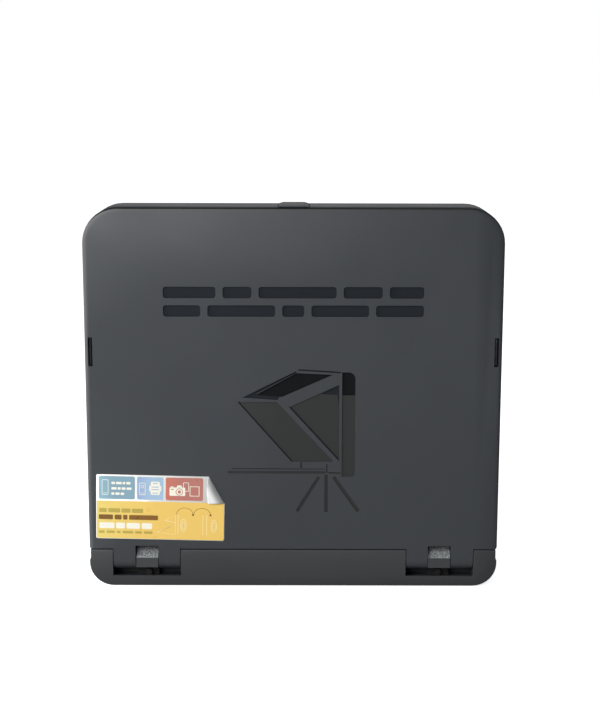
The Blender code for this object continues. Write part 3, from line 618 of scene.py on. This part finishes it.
def lay_uv(shape, columns, across, along):
    """A UV map in metres for a grid, from two functions: of a vertex's column and of its row."""
    shape.verts.ensure_lookup_table()
    layer = shape.loops.layers.uv.new("cloth")
    for face in shape.faces:
        for loop in face.loops:
            row, column = divmod(loop.vert.index, columns)
            loop[layer].uv = (across(column), along(row))


def skin(rings):
    """A closed skin over rings of points that all have the same length, its two ends capped."""
    shape = grid([ring + ring[:1] for ring in rings])
    bmesh.ops.remove_doubles(shape, verts=shape.verts, dist=0.001 * MM)
    bmesh.ops.holes_fill(shape, edges=[edge for edge in shape.edges if edge.is_boundary])
    outward(shape)
    return shape


# ---------------------------------------------------------------- sticker
# Places and sizes on the sticker are in units of its own, counted from its lower left corner.
LABEL_TURN = math.radians(-1.25)
LABEL_SIZE = (78.1, 40.4)
LABEL_UNIT = 0.9936 * MM
LABEL_RADIUS = 1.1
LAYER = 0.04 * MM  # from one layer of ink to the next
FILM = 0.1 * MM


def label_point(u, v):
    """A place on the sticker as (x, z) in metres."""
    start = low("cover_label")
    corner = Vector((start.x, start.z + LABEL_SIZE[0] * LABEL_UNIT * math.sin(-LABEL_TURN)))
    return corner + Matrix.Rotation(LABEL_TURN, 2) @ Vector((u, v)) * LABEL_UNIT


def label_vertex(shape, u, v, lift):
    x, z = label_point(u, v)
    return shape.verts.new((x, high("cover_label").y - lift, z))


def print_shape(shape, outline, layer, colour):
    """A flat printed shape, as a face on the sticker's surface."""
    face = shape.faces.new([label_vertex(shape, u, v, layer * LAYER) for u, v in outline])
    face.material_index = colour


def print_band(shape, edges, layer, colour, closed=False):
    """A printed strip between two rows of points."""
    first, second = [[label_vertex(shape, u, v, layer * LAYER) for u, v in edge] for edge in edges]
    count = len(first)
    for i in range(count if closed else count - 1):
        j = (i + 1) % count
        face = shape.faces.new((first[i], first[j], second[j], second[i]))
        face.material_index = colour


def print_ring(shape, outline, width, layer, colour):
    """A printed line of this width along the inside of a closed outline."""
    inner = []
    for i, point in enumerate(outline):
        before, after = Vector(outline[i - 1]), Vector(outline[(i + 1) % len(outline)])
        tangent = (after - before).normalized()
        inner.append(Vector(point) + Vector((-tangent.y, tangent.x)) * width)
    print_band(shape, (outline, inner), layer, colour, closed=True)


def print_line(shape, points, width, layer, colour):
    """A printed open line of this width."""
    left, right = [], []
    for i, point in enumerate(points):
        before = Vector(points[max(i - 1, 0)])
        after = Vector(points[min(i + 1, len(points) - 1)])
        side = (after - before).normalized() * width / 2
        left.append(Vector(point) + Vector((-side.y, side.x)))
        right.append(Vector(point) - Vector((-side.y, side.x)))
    print_band(shape, (right, left), layer, colour)


def printed(name, left, right, span=(0, LABEL_SIZE[0])):
    """Ink that runs from one colour to another over a span of the sticker, under a clear film."""
    look = Look("print_" + name, left, 0.32, Specular_IOR_Level=0.4)
    edge, far_edge = low("cover_label").x, high("cover_label").x
    start, stop = (edge + u * (far_edge - edge) / LABEL_SIZE[0] for u in span)
    run = look.stretch(look.axis("X"), start, stop)
    grain = look.math("MULTIPLY_ADD", look.noise(0.7 * MM), 0.12)
    look.paint("Base Color", look.blend(look.math("ADD", run, grain), left, right))
    look.paint("Roughness", look.cloud(7 * MM, 3.0, 0.27, 0.38))
    return look


TEAL, BLUE, RED, YELLOW, WHITE, BROWN, OLIVE, PALE = range(8)
PANELS = {
    TEAL: (1.5, 25.0, 23.5, 39.4),
    BLUE: (24.8, 25.0, 40.8, 39.3),
    RED: (42.2, 25.0, 64.9, 39.3),
}
YELLOW_TOP = 23.9
YELLOW_INSET = 0.3
YELLOW_RADIUS = 0.9
FOLD_TOP = (68.4, 40.4)
FOLD_BOTTOM = (78.1, 24.0)
CORNER_TIP = (68.1, 23.5)


def label_outline():
    """The sticker's outline, whose upper right corner is folded over."""
    (width, height), radius = LABEL_SIZE, LABEL_RADIUS
    points = arc((radius, radius), radius, 180, 270, 5)
    points += arc((width - radius, radius), radius, 270, 360, 5)
    points += [FOLD_BOTTOM, FOLD_TOP]
    points += arc((radius, height - radius), radius, 90, 180, 5)
    return points


def ellipse(u, v, half_u, half_v, steps=24):
    return [
        (u + half_u * math.cos(TURN * i / steps), v + half_v * math.sin(TURN * i / steps))
        for i in range(steps)
    ]


def bars(shape, row, widths, gap, layer, colour, radius=0.3):
    """A row of rounded bars where the real sticker has words. row is (u, low v, high v)."""
    at, low_v, high_v = row
    for width in widths:
        print_shape(shape, rounded_box(at, low_v, at + width, high_v, radius, 3), layer, colour)
        at += width + gap


def teal_panel(shape):
    """A handset and three rows of small bars."""
    print_ring(shape, rounded_box(3.4, 27.6, 7.4, 37.2, 0.7), 0.35, 2, WHITE)
    print_line(shape, [(4.4, 28.9), (6.4, 28.9)], 0.3, 2, WHITE)
    bars(shape, (9.2, 34.4, 35.9), (2.2, 3.4, 1.6, 2.6), 0.6, 2, WHITE)
    bars(shape, (9.2, 31.0, 32.5), (3.2, 1.8, 2.4, 3.0), 0.6, 2, WHITE)
    bars(shape, (9.2, 27.7, 29.2), (1.8, 2.6, 2.2), 0.6, 2, WHITE)


def blue_panel(shape):
    """A handset and stacked screens."""
    print_ring(shape, rounded_box(26.0, 28.0, 29.9, 35.6, 0.6), 0.35, 2, WHITE)
    print_line(shape, [(27.0, 29.2), (28.9, 29.2)], 0.3, 2, WHITE)
    print_ring(shape, ellipse(27.95, 33.3, 1.0, 1.0, 16), 0.3, 2, WHITE)
    print_shape(shape, rounded_box(33.1, 28.2, 38.6, 36.5, 0.8), 2, WHITE)
    print_shape(shape, rounded_box(32.2, 30.4, 39.5, 34.1, 0.8), 2.5, WHITE)
    for v, half in ((35.3, 1.5), (33.1, 2.2), (31.5, 2.4), (29.3, 1.7)):
        print_line(shape, [(35.8 - half, v), (35.8 + half, v)], 0.6, 3, BLUE)


def red_panel(shape):
    """A camera and two screens."""
    print_ring(shape, rounded_box(52.8, 30.8, 56.3, 36.4, 0.3), 0.35, 2, WHITE)
    print_shape(shape, rounded_box(44.5, 27.9, 54.1, 33.2, 0.7), 2.5, WHITE)
    print_shape(shape, [(48.6, 33.0), (52.4, 33.0), (51.7, 34.5), (49.3, 34.5)], 2.5, WHITE)
    print_shape(shape, rounded_box(45.2, 33.0, 47.0, 33.8, 0.2, 2), 2.5, WHITE)
    print_ring(shape, ellipse(50.5, 30.4, 2.2, 2.2), 0.4, 3, RED)
    print_shape(shape, ellipse(50.5, 30.4, 1.0, 1.0, 16), 3, RED)
    print_line(shape, [(45.4, 31.9), (47.0, 31.9)], 0.5, 3, RED)
    print_ring(shape, rounded_box(56.8, 27.8, 62.7, 34.1, 0.3), 0.4, 2, WHITE)


def yellow_half(shape):
    """Four rows of bars, and the open prompter, the lens and the folded case joined by two arcs."""
    bars(shape, (1.8, 16.6, 19.2), (4.6, 7.2, 5.4, 6.8), 0.9, 2, OLIVE, 0.5)
    bars(shape, (1.6, 12.2, 15.2), (8.6, 4.2, 2.6, 17.6), 1.0, 2, BROWN, 0.5)
    bars(shape, (1.9, 6.5, 10.2), (9.2, 5.4, 8.2, 6.3), 1.0, 2, WHITE, 0.7)
    bars(shape, (1.6, 3.5, 5.0), (3.4, 5.0, 2.2, 6.4, 4.0, 5.2), 1.3, 2, OLIVE)
    wedge = [(36.9, 4.6), (48.4, 3.4), (48.4, 15.9), (41.8, 12.4), (45.2, 8.6)]
    print_ring(shape, wedge, 0.28, 2, PALE)
    for line in ([(36.9, 4.6), (45.2, 8.6)], [(41.8, 12.4), (48.4, 10.8)]):
        print_line(shape, line, 0.28, 2, PALE)
    for u in (49.9, 65.0, 67.4):
        print_line(shape, [(u, 3.4), (u, 16.0)], 0.3, 2, PALE)
    for u in (53.2, 71.7):
        print_ring(shape, ellipse(u, 9.3, 1.9, 4.1), 0.35, 2, PALE)
        print_ring(shape, ellipse(u, 9.3, 1.0, 2.6), 0.3, 2, PALE)
    for u, half in ((53.9, 5.0), (64.5, 5.1)):
        angles = np.linspace(0, math.pi, 20)
        rise = [(u + half * math.cos(a), 16.2 + 4.2 * math.sin(a)) for a in angles]
        print_line(shape, rise, 0.28, 2, BROWN)
    for u in (58.9, 69.6):
        print_shape(shape, ellipse(u, 16.1, 0.65, 0.65, 12), 3, BROWN)


def label_inks():
    """The printing inks, in the order of the colour numbers."""
    return [
        printed("teal", (0.34, 0.65, 0.75), (0.22, 0.355, 0.435), (0, 24)),
        printed("blue", (0.2, 0.25, 0.55), (0.34, 0.48, 0.64), (25, 41)),
        printed("red", (0.68, 0.16, 0.08), (0.44, 0.17, 0.14), (42, 65)),
        printed("yellow", (0.745, 0.7, 0.215), (0.77, 0.52, 0.13)),
        printed("white", (0.84, 0.84, 0.8), (0.82, 0.8, 0.68)),
        printed("brown", (0.16, 0.095, 0.025), (0.22, 0.1, 0.02)),
        printed("olive", (0.5, 0.42, 0.09), (0.44, 0.33, 0.07)),
        printed("pale", (0.86, 0.76, 0.4), (0.86, 0.74, 0.42)),
    ]


def label_print():
    """Everything printed on the sticker: coloured panels, simple signs and bars for its words."""
    shape = bmesh.new()
    for colour, panel in PANELS.items():
        print_shape(shape, rounded_box(*panel, LABEL_RADIUS), 1, colour)
    width, edge, radius = LABEL_SIZE[0], YELLOW_INSET, YELLOW_RADIUS
    yellow = arc((edge + radius, edge + radius), radius, 180, 270, 5)
    yellow += arc((width - edge - radius, edge + radius), radius, 270, 360, 5)
    yellow += [(width - edge, YELLOW_TOP), (edge, YELLOW_TOP)]
    print_shape(shape, yellow, 1, YELLOW)
    for draw in (teal_panel, blue_panel, red_panel, yellow_half):
        draw(shape)
    outward(shape)
    for face in shape.faces:
        if face.normal.y > 0:
            face.normal_flip()
    return finish("label_print", shape, "tray_cover", label_inks())


def label_sheet():
    """The white vinyl, a tenth of a millimetre thick, stuck down all over."""
    shape = bmesh.new()
    shape.faces.new([label_vertex(shape, u, v, 0.0) for u, v in label_outline()])
    film = Look("vinyl", (0.84, 0.84, 0.82), 0.35)
    film.paint("Base Color", film.mottle(12 * MM, 0.03))
    film.paint("Roughness", film.cloud(5 * MM, 3.0, 0.3, 0.42))
    sheet = finish("label_sheet", shape, "tray_cover", film, ("cover_label",))
    thicken(sheet, FILM, -1.0)
    return sheet


CORNER_ROWS = 22
CORNER_COLUMNS = 16
CORNER_CURL = 1.3  # how far the free edge bows
CORNER_REACH = 6.0  # from this width on, the corner rolls up to its full height
CORNER_HINGE = 0.25  # heights in millimetres: where it bends, by its roll, and less by its droop
CORNER_ROLL = 1.15
CORNER_DROOP = 0.55
DROOP_FROM = 0.35  # of the way to the free edge


def corner_lift(t, reach):
    """Millimetres off the cover at the share t of the way from the hinge to the free edge."""
    roll = math.sin(math.pi * min(t * 1.6, 1.0) / 2) ** 0.7
    droop = max(t - DROOP_FROM, 0) / (1 - DROOP_FROM)
    full = min(reach, CORNER_REACH) / CORNER_REACH
    return CORNER_HINGE + full * (CORNER_ROLL * roll - CORNER_DROOP * droop**1.5)


def silver_back():
    """The back of the sticker, pale along its free side and dark where it rolls into shade."""
    back = Look("vinyl_back", (0.66, 0.67, 0.68), 0.28, Metallic=0.25)
    slope = (Vector(FOLD_TOP) - Vector(FOLD_BOTTOM)).orthogonal().normalized() * -1
    across = back.math("MULTIPLY", back.axis("X"), slope.x)
    height = back.math("MULTIPLY", back.axis("Z"), slope.y)
    fold = label_point(*FOLD_TOP).dot(slope)
    place = back.math("ADD", across, height)
    shade = back.stretch(place, fold - 6 * MM, fold - 1.5 * MM, smooth=True)
    back.paint("Base Color", back.blend(shade, (0.8, 0.8, 0.8), (0.3, 0.31, 0.31)))
    back.relief(back.noise(1.2 * MM), 0.1, 0.02 * MM)
    return back


def label_corner():
    """The corner of the sticker that has come loose and rolled forward, its silver back showing."""
    top, bottom, tip = Vector(FOLD_TOP), Vector(FOLD_BOTTOM), Vector(CORNER_TIP)
    rows = []
    for i in range(CORNER_ROWS + 1):
        share = i / CORNER_ROWS
        hinge = top.lerp(bottom, share)
        free = top.lerp(tip, min(share * 1.02, 1.0))
        free.x -= CORNER_CURL * math.sin(math.pi * share) * (1 - share * 0.3)
        reach = (free - hinge).length
        row = []
        for k in range(CORNER_COLUMNS + 1):
            t = k / CORNER_COLUMNS
            spot = hinge.lerp(free, t)
            x, z = label_point(spot.x, spot.y)
            row.append((x, high("cover_label").y - corner_lift(t, reach) * MM, z))
        rows.append(row)
    shape = grid(rows)
    outward(shape)
    corner = finish("label_corner", shape, "tray_cover", silver_back())
    thicken(corner, FILM)
    return corner


def sticker():
    sheet, prints, corner = label_sheet(), label_print(), label_corner()


# ---------------------------------------------------------------- hood and lens sleeve
PLEATS = 19  # folded panels, so half as many ridges
FOLD_STEPS = 4  # rows of points from a ridge to the next valley
RIDGE_INSET = 1.2 * MM  # how far ridges and valleys lie inside the hood's box
VALLEY_INSET = 12.0 * MM
HEADROOM = 2.2 * MM
FOLD_MARGIN = 0.2 * MM
GLUE_GAP = 0.15 * MM
HOOD_POINTS = (20, 8, 24)  # up each side, round each corner and across the top
HOOD_CLOTH = 0.16 * MM


def unsmooth(weight):
    """The t for which 3t² - 2t³ is this weight, so that the folds open evenly."""
    return 0.5 - math.sin(math.asin(1 - 2 * weight) / 3)


def hood_outline(half, bottom, top, corner):
    """One row of the hood as (x, z): up the left side, across the top and down the right one."""
    up, turn, over = HOOD_POINTS
    rise = [bottom + (top - corner - bottom) * k / up for k in range(up)]
    outline = [(-half, z) for z in rise]
    outline += arc((-half + corner, top - corner), corner, 180, 90, turn)
    outline += [(-half + corner + 2 * (half - corner) * k / over, top) for k in range(1, over)]
    outline += arc((half - corner, top - corner), corner, 90, 0, turn)
    outline += [(half, z) for z in reversed(rise)]
    return outline


def hood():
    """The folded cloth hood: pleats round three sides, from the rear frame to the glass frame."""
    start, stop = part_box("hood")
    joint = Vector(JOINTS["glass_lift"]["pos_m"])
    lift = math.radians(JOINTS["glass_lift"]["range_deg"][1])
    ridge, valley = stop.x - RIDGE_INSET, stop.x - VALLEY_INSET
    reach = stop.z - HEADROOM - joint.z
    count = PLEATS * FOLD_STEPS
    rows = []
    for i in range(count + 1):
        share = i / count
        wave = 0.5 + 0.5 * math.cos(math.pi * share * PLEATS)
        out = wave**0.8
        half = valley + (ridge - valley) * out
        # the top follows the straight line between the two frames once the hood is open
        chord = math.cos(lift / 2) / math.cos(lift * share - lift / 2)
        top = joint.z + (reach - (ridge - valley) * (1 - out)) * chord
        corner = (5.0 + 9.0 * out) * MM
        y = stop.y + (start.y - stop.y) * unsmooth(share)
        y = min(max(y, start.y + FOLD_MARGIN), stop.y - FOLD_MARGIN)
        if i == count:
            y = high("glass_frame").y + GLUE_GAP  # the last fold is glued to the frame's back
        rows.append([(x, y, z) for x, z in hood_outline(half, start.z, top, corner)])
    shape = grid(rows)
    outward(shape)
    run = run_along(rows[0])
    panel = (ridge - valley) / FOLD_STEPS
    lay_uv(shape, len(run), lambda column: run[column], lambda row: row * panel)
    cloth = finish("hood_cloth", shape, None, LOOKS["fabric"], ("hood",), CLOTH_SMOOTH)
    thicken(cloth, HOOD_CLOTH)
    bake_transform(cloth)


GATHERS = 26
SLEEVE_COLUMNS = GATHERS * 10
SLEEVE_ROWS = 16
SLEEVE_STEP = 1.6 * MM  # along the cloth from one row to the next
SLEEVE_CLOTH = 0.3 * MM
LENS_OPENING = 31.0 * MM  # its radius
FLAT_SHARE = 0.28  # of the way in from the ring, where the gathers begin
HEM_POINTS = 12


def wobble(angle, share):
    """Smooth noise that joins up with itself all the way round the opening."""
    return noise.noise((math.cos(angle) * 3, math.sin(angle) * 3, share))


def sleeve_hem(centre):
    """The puckered elastic edge of the sleeve, a ring of changing thickness."""
    rows = []
    for k in range(SLEEVE_COLUMNS):
        angle = TURN * k / SLEEVE_COLUMNS
        sway = wobble(angle, 1.0)
        pucker = 1.35 + 0.22 * math.sin(angle * GATHERS * 2 + 1.2 * sway) + 0.1 * sway
        row = []
        for j in range(HEM_POINTS):
            turn = TURN * j / HEM_POINTS
            radius = LENS_OPENING - 0.3 * MM + pucker * MM * math.cos(turn)
            y = centre.y + pucker * MM * math.sin(turn)
            row.append((radius * math.cos(angle), y, centre.z + radius * math.sin(angle)))
        rows.append(row)
    rows.append(rows[0])
    shape = grid(rows, closed=True)
    bmesh.ops.remove_doubles(shape, verts=shape.verts, dist=0.001 * MM)
    outward(shape)
    return finish("sleeve_hem", shape, "case", LOOKS["elastic"], (), HEM_SMOOTH)


def sleeve():
    """The elastic cloth sleeve that closes round a lens, gathered into its hem."""
    start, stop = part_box("lens_sleeve")
    centre = (start + stop) / 2
    outer, inner = (stop.x - start.x) / 2 - 0.3 * MM, LENS_OPENING
    rows = []
    for i in range(SLEEVE_ROWS + 1):
        share = i / SLEEVE_ROWS
        radius = outer + (inner - outer) * share
        depth = 1.5 * MM * max(share - FLAT_SHARE, 0) / (1 - FLAT_SHARE)
        row = []
        for k in range(SLEEVE_COLUMNS):
            angle = TURN * k / SLEEVE_COLUMNS
            sway = wobble(angle, share)
            fold = math.sin(angle * GATHERS + 1.2 * sway)
            fine = math.sin(angle * GATHERS * 2.5 + 3.0 * sway) * 0.3
            y = centre.y + depth * (fold + fine * share) * (0.8 + 0.4 * sway)
            row.append((radius * math.cos(angle), y, centre.z + radius * math.sin(angle)))
        rows.append(row)
    shape = grid(rows, closed=True)
    outward(shape)
    around = TURN * outer / SLEEVE_COLUMNS
    lay_uv(shape, SLEEVE_COLUMNS, lambda column: column * around, lambda row: row * SLEEVE_STEP)
    fabric = LOOKS["fabric"]
    cloth = finish("sleeve_cloth", shape, "case", fabric, ("lens_sleeve",), CLOTH_SMOOTH)
    thicken(cloth, SLEEVE_CLOTH)
    hem = sleeve_hem(centre)


# ---------------------------------------------------------------- tray lining, strap and grips
FELT_RIM = 0.45 * MM
FELT_CORNER = 6 * MM


def lining():
    """Felt with a soft rim, stuck to the inside of the cover. Its nap faces the back."""
    start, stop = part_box("tray_liner")
    rings = []
    for k in range(6):
        turn = math.pi / 2 * max(k - 1, 0) / 4
        inset = FELT_RIM * (1 - math.cos(turn))
        y = start.y if k == 0 else stop.y - FELT_RIM * (1 - math.sin(turn))
        edges = (start.x + inset, start.z + inset, stop.x - inset, stop.z - inset)
        rings.append([(x, y, z) for x, z in rounded_box(*edges, FELT_CORNER - inset, 8)])
    liner = finish("tray_felt", skin(rings), "tray_cover", LOOKS["felt"], ("tray_liner",))


STRAP_RIBS = 13
RIB_COLUMNS = 6
RIB_HEIGHT = 0.05 * MM
STRAP_HALF = 0.42 * MM  # half its thickness
STRAP_BEND = 1.3 * MM
SEAM_ENDS = (104 * MM, 115 * MM)
STITCH_PITCH = 1.9 * MM
STITCH_SIZE = (0.62 * MM, 0.14 * MM, 0.17 * MM)


def strap_path(out, foot, top):
    """The strap's middle line as (x, y): out of the left slot, across the tray, into the right one."""
    bend = STRAP_BEND
    leg = [foot + (top - bend - foot) * k / 6 for k in range(6)]
    path = [(-out, y) for y in leg]
    path += arc((-out + bend, top - bend), bend, 180, 90, 6)
    path += [(-out + bend + 2 * (out - bend) * k / 60, top) for k in range(1, 60)]
    path += arc((out - bend, top - bend), bend, 90, 0, 6)
    path += [(out, y) for y in reversed(leg)]
    return path


def bead(shape, matrix, around=8, down=5):
    """A ball of radius 1, moved and stretched by a matrix."""
    rings = []
    for j in range(1, down):
        polar = math.pi * j / down
        circle = arc((0.0, 0.0), math.sin(polar), 0, 360, around)[:-1]
        rings.append([shape.verts.new(matrix @ Vector((x, y, math.cos(polar)))) for x, y in circle])
    north, south = (shape.verts.new(matrix @ Vector((0.0, 0.0, z))) for z in (1.0, -1.0))
    for k in range(around):
        n = (k + 1) % around
        shape.faces.new((north, rings[0][k], rings[0][n]))
        for upper, lower in zip(rings, rings[1:]):
            shape.faces.new((upper[k], lower[k], lower[n], upper[n]))
        shape.faces.new((south, rings[-1][n], rings[-1][k]))


def strap_stitches(surface, bottom, top):
    """A crossed box of stitches near each end of the strap."""
    stitches = bmesh.new()
    seams = []
    for side in (-1, 1):
        near, far = (side * end for end in SEAM_ENDS)
        corners = [(near, bottom), (far, bottom), (far, top), (near, top)]
        seams += list(zip(corners, corners[1:] + corners[:1]))
        seams += [(corners[0], corners[2]), (corners[1], corners[3])]
    for a, b in seams:
        a, b = Vector(a), Vector(b)
        count = max(2, round((b - a).length / STITCH_PITCH))
        aim = Matrix.Rotation(-math.atan2(b.y - a.y, b.x - a.x), 4, "Y")
        for k in range(count):
            spot = a.lerp(b, (k + 0.5) / count)
            place = Matrix.Translation((spot.x, surface, spot.y))
            bead(stitches, place @ aim @ Matrix.Diagonal((*STITCH_SIZE, 1.0)))
    thread = Look("thread", (0.05, 0.05, 0.053), 0.7, Sheen_Weight=0.3)
    thread.relief(thread.noise(0.3 * MM), 0.4, 0.05 * MM)
    return finish("strap_stitching", stitches, "tray_cover", thread)


def strap():
    """Ribbed elastic webbing across the tray, its ends turned down through the cover's slots."""
    start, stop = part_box("tablet_strap")
    top = stop.y - STRAP_HALF - 0.05 * MM
    path = strap_path(stop.x - 0.8 * MM, start.y, top)
    run = run_along(path)
    width, steps = stop.z - start.z, STRAP_RIBS * RIB_COLUMNS
    rows = []
    for i, (x, y) in enumerate(path):
        before, after = path[max(i - 1, 0)], path[min(i + 1, len(path) - 1)]
        out_x, out_y = Vector((before[1] - after[1], after[0] - before[0])).normalized()
        row = []
        for k in range(steps + 1):
            rib = RIB_HEIGHT * math.cos(TURN * STRAP_RIBS * k / steps)
            row.append((x + out_x * rib, y + out_y * rib, start.z + width * k / steps))
        rows.append(row)
    shape = grid(rows)
    outward(shape)
    columns = steps + 1
    lay_uv(shape, columns, lambda column: column * width / columns, lambda row: run[row])
    elastic = LOOKS["elastic"]
    band = finish("strap_webbing", shape, "tray_cover", elastic, ("tablet_strap",))
    thicken(band, 2 * STRAP_HALF)
    surface = top + STRAP_HALF + 0.03 * MM
    seams = strap_stitches(surface, start.z + 2 * MM, stop.z - 2 * MM)


GRIP_PITCH = 4.05 * MM  # from one cross rib to the next
GRIP_STEPS = 8  # rings for each rib
GRIP_COLUMNS = 10
GRIP_RIB = (0.3, 0.7)  # the share of the pitch that is a rib
GRIP_VALLEY = 0.45  # height between the ribs, as a share of theirs


def grips():
    """Rubber strips with cross ribs that keep a tablet from sliding on the tray."""
    for side in ("left", "right"):
        node = "grip_strip_" + side
        start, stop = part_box(node)
        centre_x, half = (start.x + stop.x) / 2, (stop.x - start.x) / 2
        base, full = start.y, stop.y
        length = stop.z - start.z
        steps = round(length / GRIP_PITCH) * GRIP_STEPS
        rings = []
        for i in range(steps + 1):
            z = start.z + length * i / steps
            end = max(half - (z - start.z), half - (stop.z - z), 0.0)
            reach = math.sqrt(max(half * half - end * end, (0.5 * MM) ** 2))
            phase = (z - start.z) / GRIP_PITCH % 1.0
            rise = 1.0 if GRIP_RIB[0] < phase < GRIP_RIB[1] else GRIP_VALLEY
            ring = []
            for k in range(GRIP_COLUMNS + 1):
                turn = math.pi * k / GRIP_COLUMNS
                dome = math.sin(turn) ** 0.35
                x = centre_x - reach * math.cos(turn)
                ring.append((x, base + (full - base) * rise * max(dome, 0.15), z))
            ring += [(centre_x + reach, base, z), (centre_x - reach, base, z)]
            rings.append(ring)
        finish("grip_ribs_" + side, skin(rings), "tray_cover", LOOKS["rubber"], (node,))


SPRING_TURNS = 4
SPRING_WIRE = 0.25 * MM  # half its thickness
UP = Vector((0.0, 0.0, 1.0))


def coil():
    """The latch's spring, which shortens as the tab rocks down on it."""
    start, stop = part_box("latch_spring")
    centre, wire = (start + stop) / 2, SPRING_WIRE
    radius = (stop.x - start.x) / 2 - wire
    steps = 24 * SPRING_TURNS
    spots = [TURN * k / 8 for k in range(8)]
    rings = []
    for i in range(steps + 1):
        angle = TURN * SPRING_TURNS * i / steps
        out = Vector((math.cos(angle), math.sin(angle), 0.0))
        heart = centre + radius * out
        heart.z = start.z + wire + (stop.z - start.z - 2 * wire) * i / steps
        rings.append([heart + wire * (out * math.cos(a) + UP * math.sin(a)) for a in spots])
    spring = finish("spring_coil", skin(rings), "case", LOOKS["steel"], ("latch_spring",))
    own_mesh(spring)


KNURL_TEETH = 64
KNURL_FORM = (0.0, 1.0, 1.0, 0.0)  # the points of one tooth
KNURL_DEPTH = 0.3
KNURL_EDGE = -0.25  # millimetres in or out from the head of the CAD screw, at the edge and at the side
KNURL_SIDE = 0.12
KNURL_BORE = 0.94  # inner radius of the knurled band, as a share of its edge


def knurl():
    """Straight knurling round the head of the camera screw."""
    start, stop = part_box("camera_screw")
    centre, radius = (start + stop) / 2, (stop.x - start.x) / 2
    bottom, top = high("camera_plate").y + 0.45 * MM, stop.y - 0.15 * MM
    shoulders = (bottom + 0.3 * MM, stop.y - 0.45 * MM)
    count = KNURL_TEETH * len(KNURL_FORM)
    rings = []
    for y in (bottom, *shoulders, top):
        toothed = y in shoulders
        ring = []
        for k in range(count):
            angle = TURN * k / count
            tooth = KNURL_FORM[k % len(KNURL_FORM)] * KNURL_DEPTH if toothed else 0.0
            r = radius + ((KNURL_SIDE if toothed else KNURL_EDGE) + tooth) * MM
            ring.append((centre.x + r * math.cos(angle), y, centre.z + r * math.sin(angle)))
        rings.append(ring)
    for y in (top, bottom):
        rings.append([
            (centre.x + (x - centre.x) * KNURL_BORE, y, centre.z + (z - centre.z) * KNURL_BORE)
            for x, _, z in rings[0]
        ])
    rings.append(rings[0])
    shape = grid([ring + ring[:1] for ring in rings])
    bmesh.ops.remove_doubles(shape, verts=shape.verts, dist=0.001 * MM)
    outward(shape)
    finish("screw_knurling", shape, "screw", LOOKS["anodised"])


sticker()
hood()
sleeve()
lining()
strap()
grips()
coil()
knurl()
